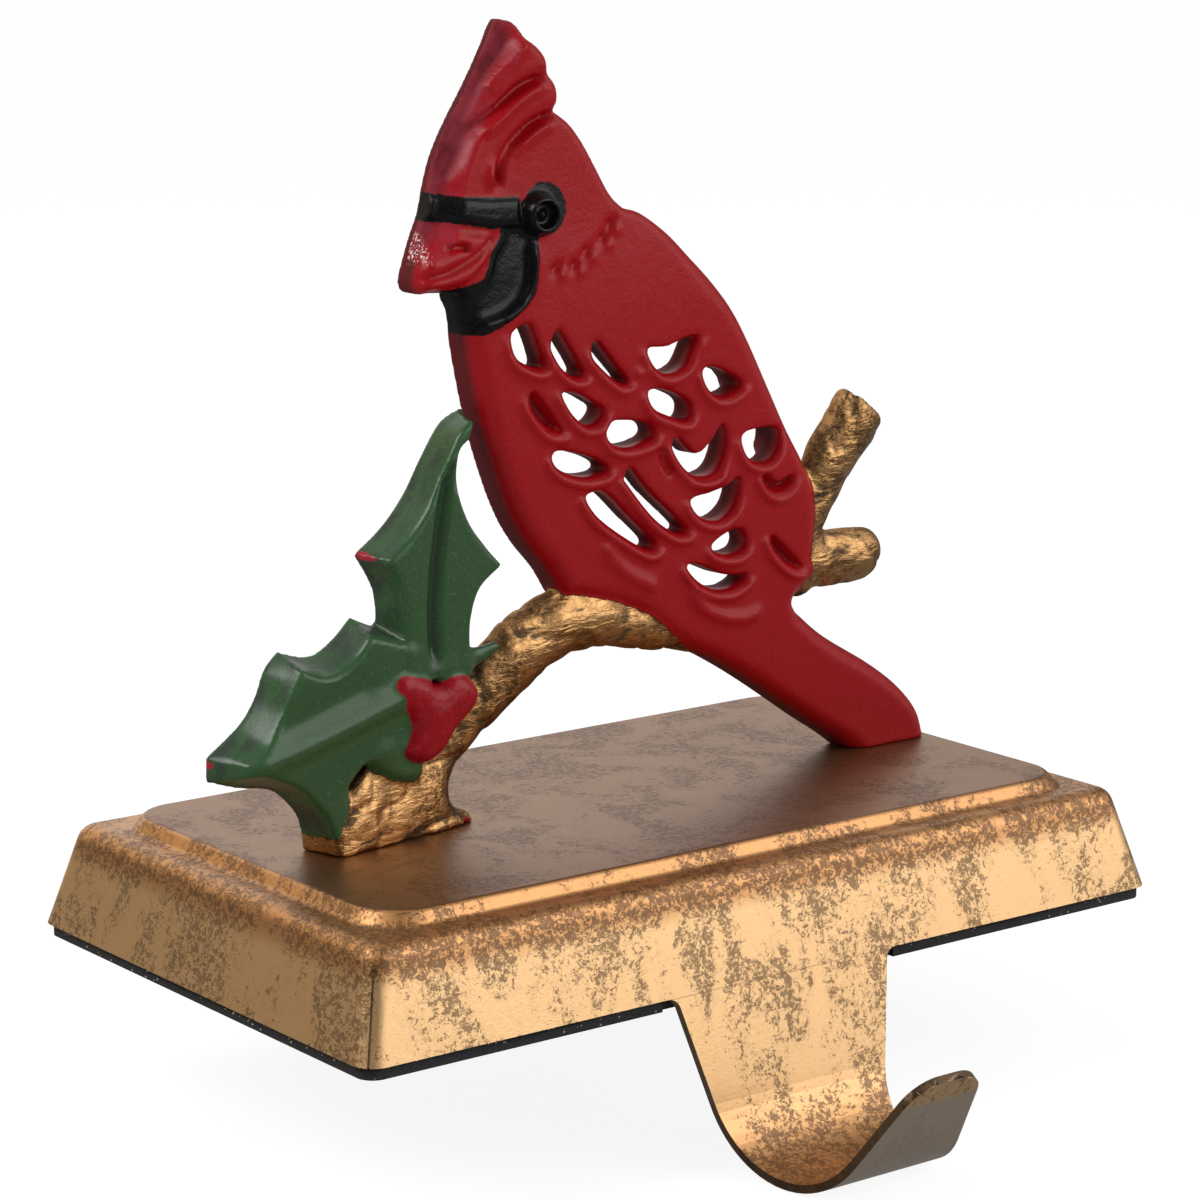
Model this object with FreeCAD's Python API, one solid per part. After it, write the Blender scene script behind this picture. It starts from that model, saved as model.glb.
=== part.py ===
# Mantel stocking holder: a weighted sheet-steel base with a hook tongue in its front wall,
# and one flat casting (cardinal, branch, holly and berries) standing on the base.
#
# Frame, in millimetres: the origin is the centre of the pad's underside, where the holder
# rests on the mantel. X runs along the front to the right, -Y is the front where the hook
# hangs, and +Z is up. The hook reaches below z = 0, in front of the mantel's edge.
import FreeCAD, Part
import math
import os

os.makedirs("parts", exist_ok=True)
Vec = FreeCAD.Vector

# Driving sizes of the sheet-steel base.
BASE_WIDTH = 152.0
BASE_DEPTH = 91.2
SHEET = 1.3
PAD_REVEAL = 2.0
LEDGE_RISE = 15.9
PANEL_RISE = 18.1
WALL_DRAFT = 0.265
RIM_CORNER = 3.6
SHOULDER_RADIUS = 3.2
PANEL_INSET = 9.2
PANEL_CORNER = 8.0
STEP_RUN = 1.4
STEP_RADIUS = 1.2

RIM_Z = PAD_REVEAL
LEDGE_Z = RIM_Z + LEDGE_RISE
PANEL_Z = RIM_Z + PANEL_RISE
PANEL_UNDER = PANEL_Z - SHEET
FRONT_Y = -BASE_DEPTH / 2

# Corner seams of the folded sheet, each ending in a small round relief.
SEAM_WIDTH = 0.35
SEAM_RELIEF = 0.6
SEAM_RISE = 12.2
SEAM_REACH = 6.0

# Hook tongue: a tapering strip that follows the front wall, bends forward and runs up.
HOOK_X = -1.1
HOOK_ROOT_HALF = 20.4
HOOK_TAPER = 0.232
HOOK_STRAIGHT = 16.5
HOOK_BEND_RADIUS = 12.5
HOOK_TURN = 131.0
HOOK_LIP = 16.7
HOOK_ROOT_FILLET = 2.0
HOOK_TIP_CORNER = 5.4
HOOK_OVERLAP = 5.0

# Foam pad and iron weight under the cover. The pad's core fits inside the rim and its sole
# spreads below it. The weight has tighter corners than its boss.
PAD_INSET = 1.8
PAD_SOLE_INSET = 0.9
PAD_CORNER = 5.0
PAD_RECESS = 1.0
WEIGHT_GAP = 1.2
WEIGHT_BOSS_RISE = 12.0
WEIGHT_BOSS_INSET = 13.0
WEIGHT_EDGE = 1.5
WEIGHT_CORNER = 4.0
BOSS_CORNER = 6.0

# Depths of the casting: its back is flat and the relief faces the front.
CAST_BACK = 3.8
BIRD_FRONT = -3.2
BIRD_ROUNDING = 1.3
HOLLOW_DEPTH = 2.4
DISH_DEPTH = 1.8
LEAF_BACK = 1.4
LEAF_FRONT = -5.6
RIB_SINK = 0.4
BRANCH_MIDDLE = 0.2
FOOT_BACK_STEP = 0.6
BERRY_MIDDLE = -3.6
STALK_STEP = 0.3
STALK_BITE = 2.0
BRANCH_FLATNESS = 0.7

# Relief of the head: sizes across the face, and how far things stand out of it or sink in.
EYE_RADIUS = 3.1
IRIS_RADIUS = 2.2
PUPIL_RADIUS = 1.2
DIMPLE_RADIUS = 0.9
EYE_PROUD = 1.4
IRIS_SINK = 1.0
BAND_PROUD = 0.9
THROAT_SINK = 0.2
GROOVE_RAISE = 0.3

# Room that cutting shapes reach past what they cut.
CUT_MARGIN = 0.4
LEAN_CUT_MARGIN = 5.0

# How far from the base's end the tail's foot stands, which sets the casting's size, and how
# far in front of the base's middle line the casting stands.
TAIL_MARGIN = 11.5
FIGURE_Y = -1.1

# Screws from below into the two feet of the casting, placed on the casting's drawing.
SCREW_SHANK = 3.5
SCREW_HEAD = 7.0
SCREW_HEAD_HEIGHT = 2.4
SCREW_HEAD_ROUNDING = 0.8
SCREW_HEAD_RECESS = 1.0
SCREW_CLEARANCE = 0.3
THREAD_GAP = 0.1
SCREW_BITE = 6.0
SCREW_END_ROOM = 0.8
BRANCH_SCREW_X = -41.0
TAIL_SCREW_X = 55.0
SCREW_Y = 0.4
SLOT_WIDTH = 1.0
SLOT_DEPTH = 1.2


def rounded_rectangle(inset, corner, z):
    """The base's plan outline moved in by inset, as a closed level wire."""
    x = BASE_WIDTH / 2 - inset
    y = BASE_DEPTH / 2 - inset
    k = corner * (1 - math.sqrt(0.5))
    r = corner
    edges = [
        Part.makeLine(Vec(-x + r, -y, z), Vec(x - r, -y, z)),
        Part.Arc(Vec(x - r, -y, z), Vec(x - k, -y + k, z), Vec(x, -y + r, z)).toShape(),
        Part.makeLine(Vec(x, -y + r, z), Vec(x, y - r, z)),
        Part.Arc(Vec(x, y - r, z), Vec(x - k, y - k, z), Vec(x - r, y, z)).toShape(),
        Part.makeLine(Vec(x - r, y, z), Vec(-x + r, y, z)),
        Part.Arc(Vec(-x + r, y, z), Vec(-x + k, y - k, z), Vec(-x, y - r, z)).toShape(),
        Part.makeLine(Vec(-x, y - r, z), Vec(-x, -y + r, z)),
        Part.Arc(Vec(-x, -y + r, z), Vec(-x + k, -y + k, z), Vec(-x + r, -y, z)).toShape(),
    ]
    return Part.Wire(edges)


def plan_prism(low_inset, low_z, high_inset, high_z, corner):
    """A solid between two level outlines, with one corner radius."""
    low = rounded_rectangle(low_inset, corner, low_z)
    high = rounded_rectangle(high_inset, corner, high_z)
    return Part.makeLoft([low, high], True, True)


def level_edges(shape, z, least_inset):
    """Edges in the level plane at z that lie at least least_inset in from the outline."""
    found = []
    for edge in shape.Edges:
        box = edge.BoundBox
        level = abs(box.ZMin - z) < 0.01 and abs(box.ZMax - z) < 0.01
        inside = (max(abs(box.XMin), abs(box.XMax)) < BASE_WIDTH / 2 - least_inset
                  and max(abs(box.YMin), abs(box.YMax)) < BASE_DEPTH / 2 - least_inset)
        if level and inside:
            found.append(edge)
    return found


def tray_form(offset, below):
    """The cover's form moved inward by offset, SEAM_REACHing below the rim by below."""
    side = offset * math.sqrt(1 + WALL_DRAFT ** 2)
    foot_z = RIM_Z - below
    ledge_z = LEDGE_Z - offset
    panel_z = PANEL_Z - offset
    low_inset = side - WALL_DRAFT * below
    high_inset = side + WALL_DRAFT * (ledge_z - RIM_Z)
    walls = plan_prism(low_inset, foot_z, high_inset, ledge_z, RIM_CORNER - side)
    walls = walls.makeFillet(SHOULDER_RADIUS - offset, level_edges(walls, ledge_z, 0))
    step_foot = PANEL_INSET + offset - STEP_RUN / 2
    step_head = PANEL_INSET + offset + STEP_RUN / 2
    panel = plan_prism(step_foot, ledge_z, step_head, panel_z, PANEL_CORNER - offset)
    form = walls.fuse(panel).removeSplitter()
    step_edges = level_edges(form, ledge_z, step_foot - 0.05) + level_edges(form, panel_z, 0)
    return form.makeFillet(STEP_RADIUS, step_edges)


def wall_frame():
    """The front wall's directions: down the outer face, and inward through the sheet."""
    length = math.hypot(WALL_DRAFT, 1)
    down = Vec(0, -WALL_DRAFT / length, -1 / length)
    inward = Vec(0, 1 / length, -WALL_DRAFT / length)
    return down, inward


def hook_root():
    """The middle of the tongue's root, on the outer face at the rim."""
    return Vec(HOOK_X, FRONT_Y, RIM_Z)


def hook_half_width(run):
    """Half the tongue's width at a run along the sheet below the rim."""
    return HOOK_ROOT_HALF - HOOK_TAPER * run


def hook_root_reach():
    """Half the tongue's width at the rim, with its root fillets."""
    return HOOK_ROOT_HALF + HOOK_ROOT_FILLET * (math.hypot(1, HOOK_TAPER) - HOOK_TAPER)


def sheet_plate(outline_edges, through):
    """A flat piece of the sheet: a closed outline given its thickness."""
    return Part.Face(Part.Wire(outline_edges)).extrude(through * SHEET)


def hook_upper():
    """The flat top of the tongue, with the two root fillets under the rim."""
    down, inward = wall_frame()

    def spot(x, run):
        return hook_root() + Vec(x, 0, 0) + down * run

    slope = math.hypot(1, HOOK_TAPER)
    fillet_x = hook_root_reach()
    touch_x = fillet_x - HOOK_ROOT_FILLET / slope
    touch_run = HOOK_ROOT_FILLET * (1 - HOOK_TAPER / slope)
    middle_x = fillet_x - HOOK_ROOT_FILLET * math.sqrt(0.5)
    middle_run = HOOK_ROOT_FILLET * (1 - math.sqrt(0.5))
    end_half = hook_half_width(HOOK_STRAIGHT)
    edges = [
        Part.makeLine(spot(-fillet_x, -HOOK_OVERLAP), spot(-fillet_x, 0)),
        Part.Arc(spot(-fillet_x, 0), spot(-middle_x, middle_run), spot(-touch_x, touch_run)).toShape(),
        Part.makeLine(spot(-touch_x, touch_run), spot(-end_half, HOOK_STRAIGHT)),
        Part.makeLine(spot(-end_half, HOOK_STRAIGHT), spot(end_half, HOOK_STRAIGHT)),
        Part.makeLine(spot(end_half, HOOK_STRAIGHT), spot(touch_x, touch_run)),
        Part.Arc(spot(touch_x, touch_run), spot(middle_x, middle_run), spot(fillet_x, 0)).toShape(),
        Part.makeLine(spot(fillet_x, 0), spot(fillet_x, -HOOK_OVERLAP)),
        Part.makeLine(spot(fillet_x, -HOOK_OVERLAP), spot(-fillet_x, -HOOK_OVERLAP)),
    ]
    return sheet_plate(edges, inward)


def bend_frame(turn):
    """Position on the throat side of the bend, outward normal and heading, after a turn."""
    down, inward = wall_frame()
    bend_start = hook_root() + down * HOOK_STRAIGHT
    centre = bend_start - inward * HOOK_BEND_RADIUS
    angle = math.radians(turn)
    outward = inward * math.cos(angle) + down * math.sin(angle)
    heading = down * math.cos(angle) - inward * math.sin(angle)
    return centre + outward * HOOK_BEND_RADIUS, outward, heading


def hook_bend():
    """The curved part of the tongue, lofted through cross-sections of the strip."""
    sections = []
    steps = 9
    for i in range(steps + 1):
        turn = HOOK_TURN * i / steps
        place, outward, heading = bend_frame(turn)
        half = hook_half_width(HOOK_STRAIGHT + HOOK_BEND_RADIUS * math.radians(turn))
        across = Vec(half, 0, 0)
        back = outward * SHEET
        corners = [place - across, place + across, place + across + back, place - across + back]
        sections.append(Part.makePolygon(corners + [corners[0]]))
    return Part.makeLoft(sections, True, False)


def hook_lip():
    """The straight lip with its two rounded tip corners."""
    place, outward, heading = bend_frame(HOOK_TURN)
    start_run = HOOK_STRAIGHT + HOOK_BEND_RADIUS * math.radians(HOOK_TURN)

    def spot(x, run):
        return place + Vec(x, 0, 0) + heading * run

    start_half = hook_half_width(start_run)
    slope = math.hypot(1, HOOK_TAPER)
    corner_run = HOOK_LIP - HOOK_TIP_CORNER
    corner_x = hook_half_width(start_run + corner_run) - HOOK_TIP_CORNER * slope
    touch_x = corner_x + HOOK_TIP_CORNER / slope
    touch_run = corner_run + HOOK_TIP_CORNER * HOOK_TAPER / slope
    turn = (math.pi / 2 + math.atan(HOOK_TAPER)) / 2
    mid_x = corner_x + HOOK_TIP_CORNER * math.sin(turn)
    mid_run = corner_run + HOOK_TIP_CORNER * math.cos(turn)
    edges = [
        Part.makeLine(spot(-start_half, 0), spot(-touch_x, touch_run)),
        Part.Arc(spot(-touch_x, touch_run), spot(-mid_x, mid_run), spot(-corner_x, HOOK_LIP)).toShape(),
        Part.makeLine(spot(-corner_x, HOOK_LIP), spot(corner_x, HOOK_LIP)),
        Part.Arc(spot(corner_x, HOOK_LIP), spot(mid_x, mid_run), spot(touch_x, touch_run)).toShape(),
        Part.makeLine(spot(touch_x, touch_run), spot(start_half, 0)),
        Part.makeLine(spot(start_half, 0), spot(-start_half, 0)),
    ]
    return sheet_plate(edges, outward)


def seam_cuts():
    """The fine open seams at the four folded corners, each with its relief hole."""
    cuts = []
    corner_x = BASE_WIDTH / 2 - RIM_CORNER
    corner_y = BASE_DEPTH / 2 - RIM_CORNER
    for side_x in (-1, 1):
        for side_y in (-1, 1):
            angle = math.degrees(math.atan2(side_y, side_x))
            slit_corner = Vec(-SEAM_REACH, -SEAM_WIDTH / 2, -1)
            slit = Part.makeBox(2 * SEAM_REACH, SEAM_WIDTH, SEAM_RISE + 1, slit_corner)
            hole_end = Vec(-SEAM_REACH, 0, SEAM_RISE)
            cut = slit.fuse(Part.makeCylinder(SEAM_RELIEF, 2 * SEAM_REACH, hole_end, Vec(1, 0, 0)))
            cut.rotate(Vec(0, 0, 0), Vec(0, 0, 1), angle)
            cut.translate(Vec(side_x * corner_x, side_y * corner_y, RIM_Z))
            cuts.append(cut)
    return cuts


def screw_places():
    """The two screw axes, by their X positions."""
    return [Vec(scaled(x), FIGURE_Y + SCREW_Y, 0) for x in (BRANCH_SCREW_X, TAIL_SCREW_X)]


def upright_holes(radius, low_z, high_z):
    """A cylinder at each screw axis."""
    foot = Vec(0, 0, low_z)
    return [Part.makeCylinder(radius, high_z - low_z, place + foot) for place in screw_places()]


def base_shell():
    """The pressed cover and the hook tongue, one sheet."""
    shell = tray_form(0, 0).cut(tray_form(SHEET, 1.0))
    shell = shell.fuse([hook_upper(), hook_bend(), hook_lip()]).removeSplitter()
    shell = shell.cut(seam_cuts())
    return shell.cut(upright_holes(SCREW_SHANK / 2 + SCREW_CLEARANCE, PANEL_UNDER - 1, PANEL_Z + 1))


def base_weight():
    """The iron slab under the panel, cast to the inside of the cover, its lower edge bevelled."""
    side = (SHEET + WEIGHT_GAP) * math.sqrt(1 + WALL_DRAFT ** 2)
    low_z = RIM_Z + PAD_RECESS
    shelf_z = RIM_Z + WEIGHT_BOSS_RISE
    bevel_z = low_z + WEIGHT_EDGE
    bevel_inset = side + WALL_DRAFT * (PAD_RECESS + WEIGHT_EDGE)
    bevel = plan_prism(bevel_inset + WEIGHT_EDGE, low_z, bevel_inset, bevel_z, WEIGHT_CORNER)
    body = plan_prism(bevel_inset, bevel_z, side + WALL_DRAFT * WEIGHT_BOSS_RISE, shelf_z, WEIGHT_CORNER)
    boss = plan_prism(WEIGHT_BOSS_INSET, bevel_z, WEIGHT_BOSS_INSET, PANEL_UNDER, BOSS_CORNER)
    holes = upright_holes(SCREW_SHANK / 2 + SCREW_CLEARANCE, low_z - 1, PANEL_UNDER + 1)
    counterbores = upright_holes(SCREW_HEAD / 2 + 2 * SCREW_CLEARANCE, low_z - 1, head_seat_z())
    return bevel.fuse([body, boss]).removeSplitter().cut(holes + counterbores)


def head_seat_z():
    """The height of the counterbore floor that the screw heads press on."""
    return RIM_Z + PAD_RECESS + SCREW_HEAD_HEIGHT + SCREW_HEAD_RECESS


def foot_pad():
    """The foam pad glued under the weight, its sole notched where the tongue comes down."""
    core = plan_prism(PAD_INSET, 0, PAD_INSET, RIM_Z + PAD_RECESS, PAD_CORNER)
    sole = plan_prism(PAD_SOLE_INSET, 0, PAD_SOLE_INSET, RIM_Z, RIM_CORNER - PAD_SOLE_INSET)
    notch_half = hook_root_reach() + CUT_MARGIN
    notch_corner = Vec(HOOK_X - notch_half, FRONT_Y, -CUT_MARGIN)
    notch = Part.makeBox(2 * notch_half, PAD_INSET, RIM_Z + 2 * CUT_MARGIN, notch_corner)
    return core.fuse(sole.cut(notch)).removeSplitter()


def screw_head(place, seat):
    """A screw's head under its seat, with a rounded lower rim."""
    low_z = seat - SCREW_HEAD_HEIGHT
    head = Part.makeCylinder(SCREW_HEAD / 2, SCREW_HEAD_HEIGHT, place + Vec(0, 0, low_z))
    rim = [edge for edge in head.Edges if abs(edge.BoundBox.ZMax - low_z) < 0.01]
    return head.makeFillet(SCREW_HEAD_ROUNDING, rim)


def casting_screws():
    """Two equal screws, head down, each with a driver slot."""
    screws = []
    seat = head_seat_z()
    tip = PANEL_Z + SCREW_BITE
    for place in screw_places():
        shank = Part.makeCylinder(SCREW_SHANK / 2, tip - seat, place + Vec(0, 0, seat))
        slot_corner = place + Vec(-SCREW_HEAD / 2, -SLOT_WIDTH / 2, seat - SCREW_HEAD_HEIGHT - 1)
        slot = Part.makeBox(SCREW_HEAD, SLOT_WIDTH, SLOT_DEPTH + 1, slot_corner)
        screws.append(screw_head(place, seat).fuse(shank).removeSplitter().cut(slot))
    return Part.makeCompound(screws)


# The casting's drawing. Outlines are lists of (x, height above the panel) seen from the front,
# for a base whose tail foot stands as drawn here. Every list is one smooth curve that ends
# where the next begins, so sharp corners lie between the lists.
BIRD_OUTLINE = {
    "crest tip": [(-18.4, 121.1), (-17.3, 119.9)],
    "second crest lobe": [(-16.4, 118.1), (-13.7, 116.7), (-12.3, 114.8)],
    "third crest lobe": [(-12.6, 112.7), (-11.1, 110.9), (-10.8, 108.9)],
    "nape and back": [(-11.8, 107.2), (-8.7, 104.8), (-6.4, 101.8), (-4.2, 98.0), (-1.6, 93.9),
                      (0.9, 92.1), (4.3, 90.9), (9.4, 87.6), (14.4, 83.3), (18.8, 79.3),
                      (22.7, 74.8), (26.1, 69.4), (30.3, 61.6), (34.1, 54.6), (37.6, 48.9),
                      (39.6, 44.4), (40.1, 39.3), (39.4, 33.9)],
    "wing tip": [(39.9, 30.7), (37.6, 28.9), (35.6, 26.5)],
    "tail top": [(36.6, 24.3), (42.5, 19.6), (52.0, 13.9), (58.4, 9.3), (62.8, 4.6)],
    "tail foot": [(64.5, 0.0)],
    "tail underside": [(49.6, 0.0), (39.4, 7.1), (29.1, 14.1), (21.5, 18.7), (14.0, 22.5),
                       (9.0, 26.1), (3.5, 29.5)],
    "belly and breast": [(-9.3, 33.5), (-12.0, 37.7), (-15.2, 41.3), (-17.9, 45.1), (-20.1, 49.5),
                         (-21.8, 53.9), (-23.5, 58.9), (-24.9, 64.2), (-26.0, 69.1), (-26.9, 73.9),
                         (-27.8, 78.1)],
    "beak": [(-29.8, 80.9), (-33.0, 81.1), (-35.6, 81.6), (-36.3, 82.8), (-35.4, 85.6)],
    "brow and crest front": [(-34.0, 89.3), (-32.5, 92.8), (-31.7, 96.2), (-30.6, 100.0),
                             (-29.2, 103.1), (-27.2, 106.5), (-25.0, 109.9), (-22.9, 113.3),
                             (-21.0, 116.9), (-19.4, 120.3)],
}

# How far the bird's front face leans back from the wing's plane, as (height, lean).
FACE_LEAN = [(63.9, 0.0), (74.9, 0.1), (83.9, 0.5), (91.9, 1.1), (104.9, 1.6), (121.9, 2.0)]

# Feathers of the wing, each a smooth closed loop of (x, height).
PIERCED_FEATHERS = [
    [(-20.4, 74.9), (-17.3, 76.2), (-15.5, 73.7), (-14.1, 69.3), (-15.7, 68.7), (-19.2, 70.3),
     (-20.5, 72.5)],
    [(-13.3, 72.4), (-11.7, 74.9), (-9.4, 72.1), (-6.6, 67.6), (-8.0, 66.6), (-10.8, 68.0), (-12.7, 70.5)],
    [(-5.6, 71.2), (-4.4, 72.6), (-1.1, 69.1), (1.9, 65.7), (0.6, 64.8), (-1.8, 66.2), (-5.1, 69.2)],
    [(5.2, 70.4), (9.4, 70.5), (12.8, 71.5), (15.6, 71.5), (14.8, 69.6), (12.9, 66.6), (9.4, 65.6),
     (6.5, 67.2)],
    [(16.0, 65.6), (17.9, 66.6), (21.9, 65.2), (24.4, 63.4), (23.9, 62.1), (20.4, 61.0), (17.4, 62.5)],
    [(-11.3, 65.0), (-8.0, 64.7), (-5.1, 63.3), (-2.7, 61.5), (-4.2, 59.3), (-6.6, 59.2), (-9.4, 61.4)],
    [(5.3, 63.6), (8.4, 63.9), (12.9, 62.1), (14.4, 60.2), (13.4, 58.0), (10.4, 58.7), (6.5, 60.6)],
    [(-2.8, 58.2), (-1.3, 59.8), (2.6, 59.6), (6.0, 58.7), (7.2, 57.0), (6.0, 55.6), (1.6, 54.9),
     (-1.8, 56.0)],
    [(-13.1, 55.6), (-11.3, 56.3), (-5.6, 54.8), (-2.2, 52.9), (-2.7, 51.4), (-6.6, 51.1), (-10.4, 52.2),
     (-12.7, 53.8)],
    [(11.5, 56.0), (15.0, 53.1), (17.9, 54.7), (20.2, 57.3), (21.5, 54.4), (20.5, 50.9), (18.5, 49.1),
     (15.5, 48.9), (12.5, 50.6), (10.0, 54.4)],
    [(24.0, 54.1), (25.5, 55.6), (31.2, 55.8), (32.5, 54.1), (31.7, 51.3), (29.2, 49.6), (25.6, 50.8)],
    [(0.7, 50.5), (2.1, 52.3), (6.5, 47.7), (13.5, 41.3), (11.5, 40.2), (6.6, 43.3), (1.2, 49.4)],
    [(-6.8, 48.2), (-5.1, 49.2), (-2.2, 48.6), (2.6, 44.2), (7.3, 39.7), (6.1, 38.2), (1.7, 40.4),
     (-4.2, 44.6)],
    [(13.8, 45.7), (18.0, 46.6), (21.5, 47.4), (23.6, 48.6), (24.3, 46.9), (23.1, 43.4), (19.6, 41.4),
     (15.5, 42.7)],
    [(18.1, 38.0), (21.1, 39.7), (24.2, 40.1), (25.7, 37.9), (24.7, 36.0), (21.7, 35.6), (18.6, 36.7)],
    [(12.0, 35.3), (14.6, 35.8), (21.7, 33.1), (25.8, 32.8), (25.3, 31.1), (22.2, 29.4), (18.1, 29.8),
     (14.6, 32.0)],
]
HOLLOW_FEATHERS = [
    [(-17.6, 64.5), (-16.7, 66.1), (-14.1, 63.8), (-11.3, 60.0), (-10.8, 58.6), (-13.7, 59.1),
     (-16.7, 62.1)],
    [(29.8, 37.8), (30.6, 38.5), (33.5, 36.2), (36.7, 32.9), (37.0, 31.5), (34.1, 32.4), (30.9, 35.3)],
    [(28.0, 48.0), (28.9, 48.6), (31.5, 47.0), (34.4, 47.8), (35.4, 47.0), (34.3, 45.4), (32.0, 44.5),
     (29.4, 45.6)],
]
# The shallow dish in the back of the wing, which leaves its pierced feathers thinner.
WING_DISH = [(-23.5, 72.0), (-21.0, 77.5), (-8.0, 78.8), (8.0, 77.2), (17.5, 72.5), (26.0, 61.0),
             (33.5, 49.0), (36.0, 39.0), (33.0, 30.0), (24.0, 26.5), (13.0, 27.8), (0.0, 36.0),
             (-11.5, 44.5), (-18.5, 55.0)]

# Details of the head. Lines are (x, height, radius) of a round bar laid on the face.
BROW_BAND = {
    "lower edge": [(-32.6, 92.1), (-28.0, 90.9), (-18.6, 90.1)],
    "upper edge": [(-17.6, 95.1), (-26.0, 95.2), (-31.6, 96.3)],
}
EYE_PLACE = (-14.9, 92.2)
THROAT_RIM = [(-15.3, 87.9, 0.7), (-15.0, 84.3, 0.7), (-16.3, 80.5, 0.7), (-19.3, 77.8, 0.7),
              (-23.0, 76.2, 0.7), (-26.0, 75.8, 0.7)]
CREST_GROOVES = [
    [(-16.0, 118.9, 1.0), (-20.4, 110.9, 0.9), (-24.6, 104.4, 0.8), (-27.0, 98.9, 0.4)],
    [(-11.8, 113.3, 1.0), (-17.4, 108.7, 0.9), (-22.4, 102.9, 0.8), (-24.6, 97.9, 0.4)],
    [(-11.2, 107.3, 1.0), (-16.0, 104.5, 0.9), (-19.8, 100.5, 0.8), (-21.0, 96.9, 0.4)],
]
BEAK_SPLIT = [(-37.3, 83.5, 0.6), (-32.0, 84.8, 0.6), (-26.6, 87.1, 0.5), (-22.8, 89.9, 0.3)]
NOSTRIL = (-30.3, 87.9)
CHEEK_DIMPLES = [(-1.4, 89.9), (-3.4, 87.8), (-6.1, 86.0), (-8.8, 84.3), (-11.9, 83.7)]

# The branch and its twigs, as (x, height, radius) along each.
BRANCH_STEM = [(-36.8, 3.9, 3.9), (-33.9, 11.1, 3.5), (-29.2, 17.2, 4.2), (-21.3, 23.2, 4.8),
               (-13.8, 27.4, 5.0), (-7.4, 28.9, 4.9), (0.5, 27.8, 4.1), (8.5, 25.7, 3.5), (18.0, 23.4, 3.2)]
UPPER_TWIG = [(38.0, 29.9, 3.6), (40.0, 37.9, 3.5), (44.3, 48.5, 3.9), (51.2, 56.7, 4.5)]
LOWER_TWIG = [(34.0, 32.9, 3.8), (43.0, 32.4, 4.2), (50.0, 32.1, 4.5), (54.2, 31.9, 3.8)]
BRANCH_FOOT_OUTLINE = {
    "sole": [(-54.0, 0.0)],
    "toe": [(-27.8, 0.0)],
    "instep": [(-27.5, 1.5), (-31.5, 4.5), (-34.0, 8.3)],
    "top": [(-42.0, 9.9), (-50.0, 8.9)],
    "left side": [(-54.0, 4.9)],
}
# The foot seen from above, as (x, y).
BRANCH_FOOT_PLAN = [(-55.0, -6.0), (-52.6, -6.0), (-40.0, -4.2), (-27.0, -1.4), (-26.0, 3.2), (-55.0, 3.2)]

# Holly. The leaves' ribs are (x, height, radius), and so are the berries, the middle one first.
UPPER_LEAF_BACK = {
    "left edge": [(-26.5, 63.9), (-30.8, 61.5), (-34.4, 56.5), (-37.5, 51.5), (-41.4, 47.1)],
    "below left spike": [(-46.3, 43.5), (-44.4, 40.5), (-43.0, 37.3), (-42.7, 32.9)],
    "base": [(-42.6, 23.9)],
    "below right spike": [(-28.5, 23.9), (-29.0, 27.9), (-28.7, 31.9), (-27.4, 36.4)],
    "right edge": [(-24.0, 40.4), (-26.8, 43.8), (-30.0, 47.9), (-31.4, 53.3), (-30.6, 57.5)],
    "tip": [(-27.6, 58.9)],
}
UPPER_LEAF_FRONT = {
    "left edge": [(-29.0, 62.9), (-31.8, 60.9), (-34.4, 55.9), (-37.3, 50.5), (-40.8, 46.3)],
    "below left spike": [(-44.7, 43.2), (-42.9, 40.5), (-41.9, 37.3), (-41.5, 32.9)],
    "base": [(-41.2, 24.4)],
    "below right spike": [(-29.8, 24.4), (-30.2, 28.5), (-30.0, 32.9), (-28.3, 37.3)],
    "right edge": [(-24.4, 40.3), (-27.3, 43.5), (-30.4, 47.7), (-32.3, 53.3), (-31.9, 58.3)],
    "tip": [(-30.0, 60.1)],
}
LOWER_LEAF_BACK = {
    "joint": [(-40.0, 29.9), (-43.0, 32.1)],
    "first hollow": [(-47.2, 34.2), (-50.0, 31.5), (-53.2, 29.8), (-56.4, 29.7)],
    "second hollow": [(-60.0, 30.7), (-62.5, 28.1), (-64.2, 24.1), (-67.0, 20.5)],
    "tip": [(-72.6, 16.5)],
    "under edge": [(-72.8, 13.1), (-67.0, 11.1), (-61.4, 9.9), (-58.2, 7.1), (-56.6, 3.9)],
    "foot": [(-55.6, 0.0)],
    "foot right": [(-50.0, 0.0)],
    "inner edge": [(-50.0, 9.9), (-46.0, 13.4)],
    "inner end": [(-40.0, 13.9)],
}
LOWER_LEAF_FRONT = {
    "joint": [(-40.0, 29.3), (-43.4, 30.9)],
    "first hollow": [(-48.0, 32.3), (-50.6, 29.3), (-53.4, 27.5), (-56.2, 27.2)],
    "second hollow": [(-60.0, 28.9), (-61.6, 25.9), (-63.4, 22.3), (-66.0, 18.7)],
    "tip": [(-69.9, 16.1)],
    "under edge": [(-69.8, 14.7), (-64.6, 13.5), (-60.3, 11.2), (-57.8, 8.3), (-55.6, 5.1)],
    "foot": [(-53.6, 0.0)],
    "foot right": [(-52.6, 0.0)],
    "inner edge": [(-52.4, 10.5), (-48.4, 13.8)],
    "inner end": [(-40.0, 14.5)],
}
UPPER_RIB = [(-34.2, 52.9, 0.6), (-35.4, 41.9, 1.0), (-36.4, 26.4, 1.3)]
LOWER_RIB = [(-69.0, 15.4, 0.7), (-58.0, 18.2, 1.3), (-45.0, 21.9, 1.5)]
BERRIES = [(-37.0, 19.7, 3.7), (-41.4, 23.3, 3.0), (-32.9, 21.3, 3.1), (-38.4, 15.3, 3.1)]


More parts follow.
